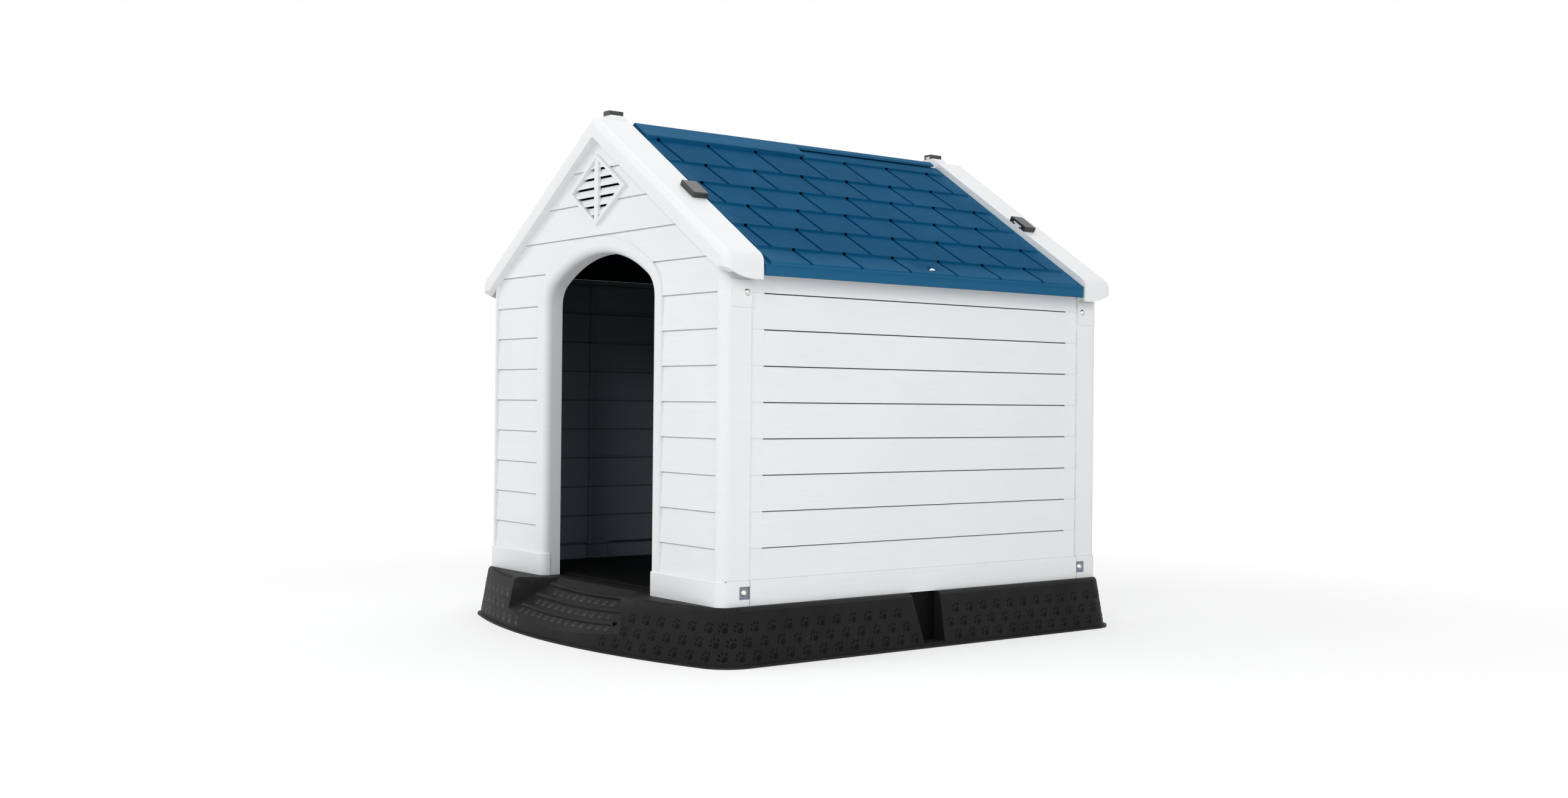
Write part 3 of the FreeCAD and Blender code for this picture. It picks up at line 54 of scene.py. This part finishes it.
TRAY_LOW, TRAY_HIGH = (Vector(corner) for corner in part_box("base_tray"))
SIDE_LOW, SIDE_HIGH = (Vector(corner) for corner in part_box("right_side_wall"))
HOUSE_Y = (SIDE_LOW.y + SIDE_HIGH.y) / 2      # middle of the four walls
EAVE_TOP = SIDE_HIGH.z
LEDGE = 0.072                                 # the tray's ledge, which the walls stand on
FOOT_BAND_TOP = 0.104
FOOT_BAND_JOG = 0.0052                        # the sides' foot band stands out by about this
FIRST_BOARD = 0.1429                          # top of the lowest clapboard
BOARD_PITCH = 0.0453
ROOM_HALF_WIDTH = 0.2972                      # between the two faces of the side walls' sheet
ROOM_HALF_DEPTH = 0.3318                      # halfway up the slant of the end walls' boards, inside
DOOR_HALF_WIDTH = 0.145                       # just past the back of the doorway's lining
DOOR_LINING_END = HOUSE_Y - 0.309
ROOF_SLOPE = math.tan(math.radians(33.2))
ROOM_APEX = 0.698                             # just under where the room's two ceilings meet

# ---------------------------------------------------------------- node helpers


def new_material(name, base, roughness, specular=0.5):
    """A Principled material with its base colour and roughness; returns it with its shader."""
    material = bpy.data.materials.new(name)
    material.use_nodes = True
    tree = material.node_tree
    shader = tree.nodes["Principled BSDF"]
    shader.inputs["Base Color"].default_value = (*base, 1.0)
    shader.inputs["Roughness"].default_value = roughness
    shader.inputs["Specular IOR Level"].default_value = specular
    return material, tree, shader


def place_coordinates(tree, scale=(1.0, 1.0, 1.0)):
    """Object coordinates in metres, stretched by scale."""
    source = tree.nodes.new("ShaderNodeTexCoord")
    mapping = tree.nodes.new("ShaderNodeMapping")
    mapping.inputs["Scale"].default_value = scale
    tree.links.new(source.outputs["Object"], mapping.inputs["Vector"])
    return mapping.outputs["Vector"]


def components(tree, vector):
    """The X, Y and Z of a vector."""
    parts = tree.nodes.new("ShaderNodeSeparateXYZ")
    tree.links.new(vector, parts.inputs[0])
    return tuple(parts.outputs)


def noise(tree, vector, size, detail=2.0, roughness=0.5):
    """Noise whose features are about `size` metres wide."""
    node = tree.nodes.new("ShaderNodeTexNoise")
    node.inputs["Scale"].default_value = 1.0 / size
    node.inputs["Detail"].default_value = detail
    node.inputs["Roughness"].default_value = roughness
    tree.links.new(vector, node.inputs["Vector"])
    return node.outputs["Fac"]


def ramp(tree, fac, stops):
    """A colour ramp; stops are (position, colour) with colour a grey level or an RGB triple."""
    node = tree.nodes.new("ShaderNodeValToRGB")
    elements = node.color_ramp.elements
    while len(elements) < len(stops):
        elements.new(0.5)
    for element, (position, colour) in zip(elements, stops):
        element.position = position
        rgb = (colour,) * 3 if isinstance(colour, (int, float)) else colour
        element.color = (*rgb, 1.0)
    tree.links.new(fac, node.inputs["Fac"])
    return node.outputs["Color"]


def mix(tree, mode, amount, first, second):
    """Mixes two colours; amount, first and second may be sockets or values."""
    node = tree.nodes.new("ShaderNodeMix")
    node.data_type = "RGBA"
    node.blend_type = mode
    # the Mix node's factor, and its A and B for colours
    amount_socket, first_socket, second_socket = (node.inputs[index] for index in (0, 6, 7))
    for socket, value in ((first_socket, first), (second_socket, second)):
        if isinstance(value, bpy.types.NodeSocket):
            tree.links.new(value, socket)
        else:
            socket.default_value = (*value, 1.0)
    if isinstance(amount, bpy.types.NodeSocket):
        tree.links.new(amount, amount_socket)
    else:
        amount_socket.default_value = amount
    return node.outputs[2]


def math_node(tree, operation, first, second=0.0):
    """A Math node; first and second may be sockets or values."""
    node = tree.nodes.new("ShaderNodeMath")
    node.operation = operation
    for index, value in enumerate((first, second)):
        if isinstance(value, bpy.types.NodeSocket):
            tree.links.new(value, node.inputs[index])
        else:
            node.inputs[index].default_value = value
    return node.outputs[0]


def tinted(tree, colour, pattern, dark, pale, low=0.3, high=0.7):
    """The colour times a shade from `dark` to `pale`, as the pattern goes from `low` to `high`."""
    return mix(tree, "MULTIPLY", 1.0, colour, ramp(tree, pattern, [(low, dark), (high, pale)]))


def wear_edges(tree, low, high):
    """White where the mesh turns sharply outwards, from Geometry's Pointiness."""
    geometry = tree.nodes.new("ShaderNodeNewGeometry")
    return ramp(tree, geometry.outputs["Pointiness"], [(low, 0.0), (high, 1.0)])


def bump(tree, shader, height, depth, strength):
    """Bumps of about `depth` metres where height goes from 0 to 1."""
    node = tree.nodes.new("ShaderNodeBump")
    node.inputs["Strength"].default_value = strength
    node.inputs["Distance"].default_value = depth
    tree.links.new(height, node.inputs["Height"])
    tree.links.new(node.outputs["Normal"], shader.inputs["Normal"])


def vary_gloss(tree, shader, pattern, low, spread):
    """Roughness from `low` to `low + spread`, as the pattern goes from 0 to 1."""
    roughness = math_node(tree, "ADD", math_node(tree, "MULTIPLY", pattern, spread), low)
    tree.links.new(roughness, shader.inputs["Roughness"])


def within(tree, coordinate, half, centre=0.0):
    """1 where the coordinate is less than `half` from `centre`."""
    away = math_node(tree, "ABSOLUTE", math_node(tree, "SUBTRACT", coordinate, centre))
    return math_node(tree, "LESS_THAN", away, half)


# ---------------------------------------------------------------- materials

WALL_WHITE = (0.86, 0.875, 0.875)
ROOM_SHADE_LOW = (0.205, 0.240, 0.280)         # painted shade on the back of the walls; paler and bluer by the floor as painted light
ROOM_SHADE_HIGH = (0.085, 0.094, 0.100)        # the same painted shade, by the eaves
# painted shadow lines at the boards' joints inside the house
JOINT_SHADOW = (0.5, 0.5, 0.5)
JOINT_SHARE = 0.03                            # half a painted shadow line at a joint, as a share of the pitch
BRUSHED_SHARE = 0.8                           # bumps of the brushing beside those of the grain
ROOF_BLUE = (0.003, 0.073, 0.168)
ROOF_WORN = (0.05, 0.19, 0.33)
ROOF_WEAR = 0.35                              # how much of the worn colour shows on an edge
# painted shade for the blue plastic's faces that look down
ROOF_UNDERSIDE_SHADE = (0.0012, 0.004, 0.007)
FACING_DOWN = -0.5                            # normal's Z, below which a face is an underside
BASE_BLACK = (0.0125, 0.0125, 0.0128)
BASE_RUBBED = (0.085, 0.085, 0.085)
BASE_WEAR = 0.5
ROOM_FLOOR_SHADE = (0.002, 0.002, 0.002)            # painted shade on the tray's floor inside the house
CLIP_BLACK = (0.008, 0.008, 0.008)
CLIP_RUBBED = (0.09, 0.09, 0.09)
CLIP_WEAR = 0.4
STEEL = (0.62, 0.62, 0.61)
# painted shade in the drive recess
STEEL_RECESS_SHADE = (0.03, 0.03, 0.03)
STEEL_FACE = (0.6, 0.6, 0.59)
STEEL_EDGE = (0.85, 0.85, 0.84)
# the prints' two tones are painted light: dark where they would show no reflection, pale with a
# painted sheen
PRINT_DARK = (0.0012, 0.0012, 0.0012)
PRINT_PAINTED_SHEEN = (0.06, 0.06, 0.061)


def room_shade_mask(tree, place):
    """Mask for the room's painted shade: 1 inside the walls' sheet and below the roof, but not on
    the doorway's lining.
    """
    x, y, z = components(tree, place)
    jog = math_node(tree, "MULTIPLY", math_node(tree, "LESS_THAN", z, FOOT_BAND_TOP), FOOT_BAND_JOG)
    across = within(tree, x, math_node(tree, "ADD", jog, ROOM_HALF_WIDTH))
    along = within(tree, y, ROOM_HALF_DEPTH, HOUSE_Y)
    doorway = math_node(tree, "MULTIPLY", within(tree, x, DOOR_HALF_WIDTH),
                        math_node(tree, "LESS_THAN", y, DOOR_LINING_END))
    climb = math_node(tree, "MULTIPLY", math_node(tree, "ABSOLUTE", x), ROOF_SLOPE)
    under = math_node(tree, "LESS_THAN", math_node(tree, "ADD", z, climb), ROOM_APEX)
    inside = math_node(tree, "MULTIPLY", math_node(tree, "MULTIPLY", across, along), under)
    return math_node(tree, "GREATER_THAN", math_node(tree, "SUBTRACT", inside, doorway), 0.5)


def room_painted_shade(tree, place):
    """Painted shade on the back of the sheet: cooler and paler near the floor as painted light
    through the doorway, with painted shadow lines at the boards' joints.
    """
    height = components(tree, place)[2]
    share = math_node(tree, "DIVIDE", math_node(tree, "SUBTRACT", height, FOOT_BAND_TOP), EAVE_TOP)
    colour = ramp(tree, share, [(0.0, ROOM_SHADE_LOW), (0.75, ROOM_SHADE_HIGH)])
    rows = math_node(tree, "DIVIDE", math_node(tree, "SUBTRACT", height, FIRST_BOARD), BOARD_PITCH)
    joint = math_node(tree, "LESS_THAN", math_node(tree, "PINGPONG", rows, 0.5), JOINT_SHARE)
    return mix(tree, "MULTIPLY", joint, colour, JOINT_SHADOW)


def wall_plastic():
    """White polypropylene with a brushed grain and faint cloudiness, with painted shade on its back
    inside the house.
    """
    material, tree, shader = new_material("white_plastic", WALL_WHITE, roughness=0.5, specular=0.35)
    place = place_coordinates(tree)
    clouds = noise(tree, place, size=0.16, detail=4.0)
    flat_place = place_coordinates(tree, scale=(0.25, 0.25, 6.0))
    brushed = noise(tree, flat_place, size=0.012, detail=4.0, roughness=0.7)
    colour = tinted(tree, WALL_WHITE, clouds, dark=0.97, pale=1.0)
    colour = tinted(tree, colour, brushed, dark=0.975, pale=1.0, low=0.35, high=0.65)
    # painted shade on the back of the sheet, inside the house
    colour = mix(tree, "MIX", room_shade_mask(tree, place), colour, room_painted_shade(tree, place))
    tree.links.new(colour, shader.inputs["Base Color"])
    grain = noise(tree, place, size=0.0011)
    height = math_node(tree, "ADD", grain, math_node(tree, "MULTIPLY", brushed, BRUSHED_SHARE))
    bump(tree, shader, height, depth=0.00012, strength=0.6)
    vary_gloss(tree, shader, grain, low=0.44, spread=0.12)
    return material


def roof_plastic():
    """Satin blue polypropylene with a fine leathery grain; faces that look down get painted shade.
    """
    material, tree, shader = new_material("blue_plastic", ROOF_BLUE, roughness=0.5, specular=0.02)
    place = place_coordinates(tree)
    clouds = noise(tree, place, size=0.09, detail=5.0)
    colour = tinted(tree, ROOF_BLUE, clouds, dark=0.92, pale=1.08)
    wear = math_node(tree, "MULTIPLY", wear_edges(tree, low=0.53, high=0.60), ROOF_WEAR)
    colour = mix(tree, "MIX", wear, colour, ROOF_WORN)
    geometry = tree.nodes.new("ShaderNodeNewGeometry")
    upward = components(tree, geometry.outputs["True Normal"])[2]
    # painted shade on faces that look down
    under = math_node(tree, "LESS_THAN", upward, FACING_DOWN)
    colour = mix(tree, "MIX", under, colour, ROOF_UNDERSIDE_SHADE)
    tree.links.new(colour, shader.inputs["Base Color"])
    bump(tree, shader, noise(tree, place, size=0.0016), depth=0.00022, strength=0.5)
    vary_gloss(tree, shader, noise(tree, place, size=0.03, detail=3.0), low=0.5, spread=0.16)
    return material


def base_plastic(name="black_plastic", tone=BASE_BLACK, rub=BASE_WEAR):
    """Black polypropylene with a matt grain and paler rubbed edges, with painted shade inside the
    house.
    """
    material, tree, shader = new_material(name, tone, roughness=0.5, specular=0.09)
    place = place_coordinates(tree)
    clouds = noise(tree, place, size=0.05, detail=5.0)
    colour = tinted(tree, tone, clouds, dark=0.8, pale=1.25)
    patches = noise(tree, place, size=0.006, detail=4.0, roughness=0.7)
    rubbed = math_node(tree, "MULTIPLY", wear_edges(tree, low=0.52, high=0.60), patches)
    colour = mix(tree, "MIX", math_node(tree, "MULTIPLY", rubbed, rub), colour, BASE_RUBBED)
    # painted shade on the tray's floor inside the house
    colour = mix(tree, "MIX", room_shade_mask(tree, place), colour, ROOM_FLOOR_SHADE)
    tree.links.new(colour, shader.inputs["Base Color"])
    grain = noise(tree, place, size=0.0012, detail=3.0)
    bump(tree, shader, grain, depth=0.0003, strength=0.7)
    vary_gloss(tree, shader, grain, low=0.46, spread=0.18)
    return material


def clip_plastic():
    """Smoother black plastic of the clips, with paler rubbed edges."""
    material, tree, shader = new_material("clip_plastic", CLIP_BLACK, roughness=0.4, specular=0.4)
    rubbed = math_node(tree, "MULTIPLY", wear_edges(tree, low=0.53, high=0.62), CLIP_WEAR)
    colour = mix(tree, "MIX", rubbed, CLIP_BLACK, CLIP_RUBBED)
    tree.links.new(colour, shader.inputs["Base Color"])
    grain = noise(tree, place_coordinates(tree), size=0.001)
    bump(tree, shader, grain, depth=0.00015, strength=0.5)
    vary_gloss(tree, shader, grain, low=0.30, spread=0.15)
    return material


def screw_steel():
    """Bright plated steel with fine turning marks; painted shade darkens the drive recess, and sharp
    edges are paler.
    """
    material, tree, shader = new_material("screw_steel", STEEL, roughness=0.22)
    shader.inputs["Metallic"].default_value = 1.0
    geometry = tree.nodes.new("ShaderNodeNewGeometry")
    # painted shade where the mesh turns inwards, in the drive recess
    colour = ramp(tree, geometry.outputs["Pointiness"],
                  [(0.46, STEEL_RECESS_SHADE), (0.5, STEEL_FACE), (0.56, STEEL_EDGE)])
    tree.links.new(colour, shader.inputs["Base Color"])
    marks = noise(tree, place_coordinates(tree), size=0.0006)
    bump(tree, shader, marks, depth=0.00003, strength=0.5)
    vary_gloss(tree, shader, marks, low=0.14, spread=0.14)
    return material


def dress(node, material):
    """Puts the material on every slot of a CAD node."""
    slots = bpy.data.objects[node].material_slots
    for slot in slots:
        slot.material = material
    if not slots:
        bpy.data.objects[node].data.materials.append(material)


MATERIALS = {
    "wall_plastic": wall_plastic(),
    "roof_plastic": roof_plastic(),
    "base_plastic": base_plastic(),
    "clip_plastic": clip_plastic(),
    "screw_steel": screw_steel(),
}
for part in frame["record"]["subparts"]:
    dress(part["node"], MATERIALS[part["material_slot"]])

# ---------------------------------------------------------------- paw prints on the tray

# one pad and four toes: x, y, half width, half height
PRINT_PADS = ((0.0, -0.0024, 0.0041, 0.0034),
              (-0.0053, 0.0012, 0.0015, 0.0021),
              (-0.0020, 0.0043, 0.0015, 0.0022),
              (0.0020, 0.0043, 0.0015, 0.0022),
              (0.0053, 0.0012, 0.0015, 0.0021))
PRINT_TILT = math.radians(36.0)               # toes lean to the left
PRINT_RISE = 0.0004
PRINT_SINK = 0.00008                          # rim of a print, under the skin
PRINT_DEPTH = 0.012                           # a print that would reach over an edge is left out
PRINT_FACING = 0.75                           # and so is one on skin that leans away further
DOME_RINGS = ((0.62, PRINT_RISE * 0.8), (1.0, -PRINT_SINK))    # share of the width, rise
RIM_POINTS = 10
RAY_START = 0.05                              # out from the place that a print is laid at
RAY_LENGTH = 3 * RAY_START

SKIRT_ROWS = (0.0135, 0.030, 0.048, 0.064)    # heights on the skirt
SKIRT_PITCH = 0.026
SKIRT_PRINT_SCALE = 1.15
SKIRT_CORNER = 0.048                          # in plan
FRONT_BOW = 0.950                             # radius of the front edge in plan
ARC_STEPS = 24

STEP_BACK = 0.330                             # the slope's upper edge, from the house's middle
STEP_FRONT = 0.3953
STEP_LOW = 0.021                              # height of its lower edge
STEP_TOP = Vector((0.0, HOUSE_Y - STEP_BACK, LEDGE))
STEP_DOWN = Vector((0.0, STEP_BACK - STEP_FRONT, STEP_LOW - LEDGE)).normalized()
STEP_OUT = Vector((0.0, STEP_DOWN.z, -STEP_DOWN.y))
STEP_ROWS = ((0.031, 4), (0.0545, 5), (0.0755, 6))    # down the slope, prints each side
STEP_PITCH = 0.019
STEP_PRINT_SCALE = 0.8
STEP_SWEEP = 1.2                              # radius of the step's ribs
RIGHT = Vector((1.0, 0.0, 0.0))
UP = Vector((0.0, 0.0, 1.0))


def skirt_outline():
    """Points round the tray's foot flange from above, each with its outward side."""
    corner_x = TRAY_HIGH.x - SKIRT_CORNER
    corner_y = TRAY_HIGH.y - SKIRT_CORNER
    lean = math.asin(corner_x / (FRONT_BOW - SKIRT_CORNER))
    bow_centre = Vector((0.0, TRAY_LOW.y + FRONT_BOW, 0.0))
    front_y = bow_centre.y - (FRONT_BOW - SKIRT_CORNER) * math.cos(lean)
    quarter = math.pi / 2
    arcs = ((bow_centre, FRONT_BOW, -lean, lean),
            (Vector((corner_x, front_y, 0.0)), SKIRT_CORNER, lean, quarter),
            (Vector((corner_x, corner_y, 0.0)), SKIRT_CORNER, quarter, 2 * quarter),
            (Vector((-corner_x, corner_y, 0.0)), SKIRT_CORNER, 2 * quarter, 3 * quarter),
            (Vector((-corner_x, front_y, 0.0)), SKIRT_CORNER, 3 * quarter, 4 * quarter - lean))
    outline = []
    for centre, radius, low, high in arcs:
        for step in range(ARC_STEPS + 1):
            angle = low + (high - low) * step / ARC_STEPS
            out = Vector((math.sin(angle), -math.cos(angle), 0.0))
            outline.append((centre + radius * out, out))
    return outline


def places_round(outline, first, pitch):
    """Places along the outline, one every `pitch`: point, direction and outward side."""
    run = first
    for (start, start_out), (end, end_out) in zip(outline, outline[1:] + outline[:1]):
        length = (end - start).length
        while length and run <= length:
            share = run / length
            out = start_out.lerp(end_out, share).normalized()
            yield start.lerp(end, share), Vector((-out.y, out.x, 0.0)), out
            run += pitch
        run -= length


def dome_spots(pad):
    """Where a pad's points lie on the print, each with its rise: the middle, then two rings."""
    middle_x, middle_y, half_x, half_y = pad
    spots = [(middle_x, middle_y, PRINT_RISE)]
    for share, rise in DOME_RINGS:
        for step in range(RIM_POINTS):
            angle = 2 * math.pi * step / RIM_POINTS
            spots.append((middle_x + share * half_x * math.cos(angle),
                          middle_y + share * half_y * math.sin(angle), rise))
    return spots


def dome_faces(first):
    """The faces of a pad whose middle is the point with index `first`."""
    inner, outer = first + 1, first + 1 + RIM_POINTS
    faces = []
    for step in range(RIM_POINTS):
        following = (step + 1) % RIM_POINTS
        faces.append((first, inner + step, inner + following))
        faces.append((inner + step, outer + step, outer + following, inner + following))
    return faces


def lay_print(skin, points, faces, centre, ahead, up, out, scale):
    """Adds one print, laid on the skin as low domes; nothing where the skin isn't whole."""
    new_points, new_faces = [], []
    tilt_x, tilt_y = math.cos(PRINT_TILT), math.sin(PRINT_TILT)
    for pad in PRINT_PADS:
        new_faces += dome_faces(len(points) + len(new_points))
        for x, y, rise in dome_spots(pad):
            across = scale * (x * tilt_x - y * tilt_y)
            above = scale * (x * tilt_y + y * tilt_x)
            start = centre + ahead * across + up * above + out * RAY_START
            hit, normal = skin.ray_cast(start, -out, RAY_LENGTH)[:2]
            if hit is None or normal.dot(out) < PRINT_FACING:
                return
            new_points.append(hit + normal * rise)
    depths = [point.dot(out) for point in new_points]
    if max(depths) - min(depths) < PRINT_DEPTH:
        points.extend(new_points)
        faces.extend(new_faces)


def print_mesh(name, points, faces, tone):
    """One piece for all the prints of a tone."""
    mesh = bpy.data.meshes.new(name)
    mesh.from_pydata(points, [], faces)
    mesh.shade_smooth()
    mesh.materials.append(base_plastic(name + "_plastic", tone, rub=0.0))
    piece = bpy.data.objects.new(name, mesh)
    bpy.context.scene.collection.objects.link(piece)
    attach(piece, "house")


def paw_prints():
    """Raised prints in staggered rows round the skirt, and on the step between its ribs; the pale
    ones carry a painted sheen.
    """
    skin = BVHTree.FromObject(bpy.data.objects["base_tray"],
                              bpy.context.evaluated_depsgraph_get())
    dark, pale = ([], []), ([], [])
    for row, height in enumerate(SKIRT_ROWS):
        first = SKIRT_PITCH * (0.25 + 0.5 * (row % 2))
        for point, ahead, out in places_round(skirt_outline(), first, SKIRT_PITCH):
            # prints on the skirt's front left carry the painted sheen
            on_left = point.y < TRAY_LOW.y + 2 * SKIRT_CORNER and point.x < 0.0
            lay_print(skin, *(pale if on_left else dark), point + UP * height, ahead, UP, out,
                      SKIRT_PRINT_SCALE)
    for down, count in STEP_ROWS:
        for place in range(-count, count + 1):
            x = place * STEP_PITCH
            along = down - x * x / (2 * STEP_SWEEP)
            # the step's prints carry the painted sheen too
            lay_print(skin, *pale, STEP_TOP + RIGHT * x + STEP_DOWN * along, RIGHT, -STEP_DOWN,
                      STEP_OUT, STEP_PRINT_SCALE)
    print_mesh("dark_paw_prints", *dark, PRINT_DARK)
    print_mesh("sheen_painted_paw_prints", *pale, PRINT_PAINTED_SHEEN)


paw_prints()

# ---------------------------------------------------------------- floor and world

WHITE = (1.0, 1.0, 1.0, 1.0)
FLOOR_HALF = 14.0
FLOOR_WHITE = (0.86, 0.86, 0.86)
FLOOR_SHADE = (0.52, 0.52, 0.52, 1.0)         # diffuse colour of the floor as it is seen
FLOOR_GLOW = 0.50                             # added to it, so that it is white out of the shadow
FLOOR_FADE = (0.62, 1.5)                      # distances between which it turns plain white
DOME_COLOUR = (0.95, 0.97, 1.0, 1.0)
DOME_STRENGTH = 0.42


def seen_rays(tree):
    """1 for the rays that show the background: camera, glossy and transmission rays."""
    path = tree.nodes.new("ShaderNodeLightPath")
    rays = math_node(tree, "MAXIMUM", path.outputs["Is Camera Ray"], path.outputs["Is Glossy Ray"])
    return math_node(tree, "MAXIMUM", rays, path.outputs["Is Transmission Ray"])


def mix_shaders(tree, amount, first, second):
    node = tree.nodes.new("ShaderNodeMixShader")
    for value, socket in zip((amount, first, second), node.inputs):
        tree.links.new(value, socket)
    return node.outputs[0]


def shadowed_floor(tree):
    """The floor as it is seen: it keeps the house's shadow and fades to white further out."""
    grey = tree.nodes.new("ShaderNodeBsdfDiffuse")
    grey.inputs["Color"].default_value = FLOOR_SHADE
    glow = tree.nodes.new("ShaderNodeEmission")
    glow.inputs["Strength"].default_value = FLOOR_GLOW
    shaded = tree.nodes.new("ShaderNodeAddShader")
    tree.links.new(grey.outputs[0], shaded.inputs[0])
    tree.links.new(glow.outputs[0], shaded.inputs[1])
    white = tree.nodes.new("ShaderNodeEmission")
    distance = tree.nodes.new("ShaderNodeVectorMath")
    distance.operation = "LENGTH"
    tree.links.new(place_coordinates(tree), distance.inputs[0])
    far = tree.nodes.new("ShaderNodeMapRange")
    far.interpolation_type = "SMOOTHSTEP"
    far.inputs["From Min"].default_value, far.inputs["From Max"].default_value = FLOOR_FADE
    tree.links.new(distance.outputs["Value"], far.inputs["Value"])
    return mix_shaders(tree, far.outputs["Result"], shaded.outputs[0], white.outputs[0])


def stage():
    """A wide floor, white to the camera but for the house's shadow, and plain to the light."""
    mesh = bpy.data.meshes.new("floor")
    mesh.from_pydata([(-FLOOR_HALF, -FLOOR_HALF, 0.0), (FLOOR_HALF, -FLOOR_HALF, 0.0),
                      (FLOOR_HALF, FLOOR_HALF, 0.0), (-FLOOR_HALF, FLOOR_HALF, 0.0)],
                     [], [(0, 1, 2, 3)])
    floor = bpy.data.objects.new("floor", mesh)
    bpy.context.scene.collection.objects.link(floor)
    material, tree, shader = new_material("floor_white", FLOOR_WHITE, roughness=0.9, specular=0.1)
    mesh.materials.append(material)
    whole = mix_shaders(tree, seen_rays(tree), shader.outputs[0], shadowed_floor(tree))
    tree.links.new(whole, tree.nodes["Material Output"].inputs["Surface"])


def world():
    """A white world to the camera and to gloss, and a soft pale dome to diffuse light."""
    scene_world = bpy.data.worlds.new("studio")
    bpy.context.scene.world = scene_world
    scene_world.use_nodes = True
    tree = scene_world.node_tree
    dome = tree.nodes["Background"]
    dome.inputs["Color"].default_value = DOME_COLOUR
    dome.inputs["Strength"].default_value = DOME_STRENGTH
    white = tree.nodes.new("ShaderNodeBackground")
    white.inputs["Color"].default_value = WHITE
    look = mix_shaders(tree, seen_rays(tree), dome.outputs[0], white.outputs[0])
    tree.links.new(look, tree.nodes["World Output"].inputs["Surface"])


# ---------------------------------------------------------------- lamps and camera

HOUSE_MIDDLE = (0.0, 0.0, 0.3)
ROOM_LOW_LEFT = (-0.2, 0.1, 0.2)
LAMPS = (("key", (-1.8, -3.2, 2.3), HOUSE_MIDDLE, 2.4, 50.0),
         ("fill", (3.2, -0.4, 1.7), HOUSE_MIDDLE, 2.4, 37.0),
         ("door", (2.0, -3.0, 2.0), ROOM_LOW_LEFT, 0.8, 24.0),
         ("top", (-0.6, 0.6, 3.4), HOUSE_MIDDLE, 3.0, 34.0))    # name, place, aim, side, watts
PHOTO_WIDTH = 2576.0                          # in pixels, as the focal length below
FOCAL_PIXELS = 2644.27
SENSOR_WIDTH = 36.0
VIEW_AZIMUTH = math.radians(52.496)
VIEW_ELEVATION = math.radians(-0.125)
VIEW_ROLL = math.radians(0.577)
VIEW_PLACE = Vector((1.9040, -1.4729 + HOUSE_Y, 0.3237))
VIEW_REACH = (0.05, 60.0)


def area_light(name, place, aim, side, watts):
    """A square lamp that points from its place to its aim."""
    data = bpy.data.lights.new(name, "AREA")
    data.shape = "RECTANGLE"
    data.size, data.size_y = side, side
    data.energy = watts
    lamp = bpy.data.objects.new(name, data)
    bpy.context.scene.collection.objects.link(lamp)
    lamp.location = place
    lamp.rotation_euler = (Vector(aim) - Vector(place)).to_track_quat("-Z", "Y").to_euler()


def camera():
    """The photograph's viewpoint, from a fit to the house's edges."""
    forward = Vector((-math.sin(VIEW_AZIMUTH) * math.cos(VIEW_ELEVATION),
                      math.cos(VIEW_AZIMUTH) * math.cos(VIEW_ELEVATION),
                      -math.sin(VIEW_ELEVATION)))
    level = Vector((math.cos(VIEW_AZIMUTH), math.sin(VIEW_AZIMUTH), 0.0))
    upright = level.cross(forward)
    right = level * math.cos(VIEW_ROLL) + upright * math.sin(VIEW_ROLL)
    up = upright * math.cos(VIEW_ROLL) - level * math.sin(VIEW_ROLL)
    data = bpy.data.cameras.new("camera")
    data.sensor_fit = "HORIZONTAL"
    data.sensor_width = SENSOR_WIDTH
    data.lens = SENSOR_WIDTH * FOCAL_PIXELS / PHOTO_WIDTH
    data.clip_start, data.clip_end = VIEW_REACH
    eye = bpy.data.objects.new("camera", data)
    bpy.context.scene.collection.objects.link(eye)
    turn = Matrix((right, up, -forward)).transposed().to_4x4()
    eye.matrix_world = Matrix.Translation(VIEW_PLACE) @ turn
    bpy.context.scene.camera = eye


stage()
world()
camera()
for lamp_values in LAMPS:
    area_light(*lamp_values)
bpy.context.scene.view_settings.view_transform = "Standard"
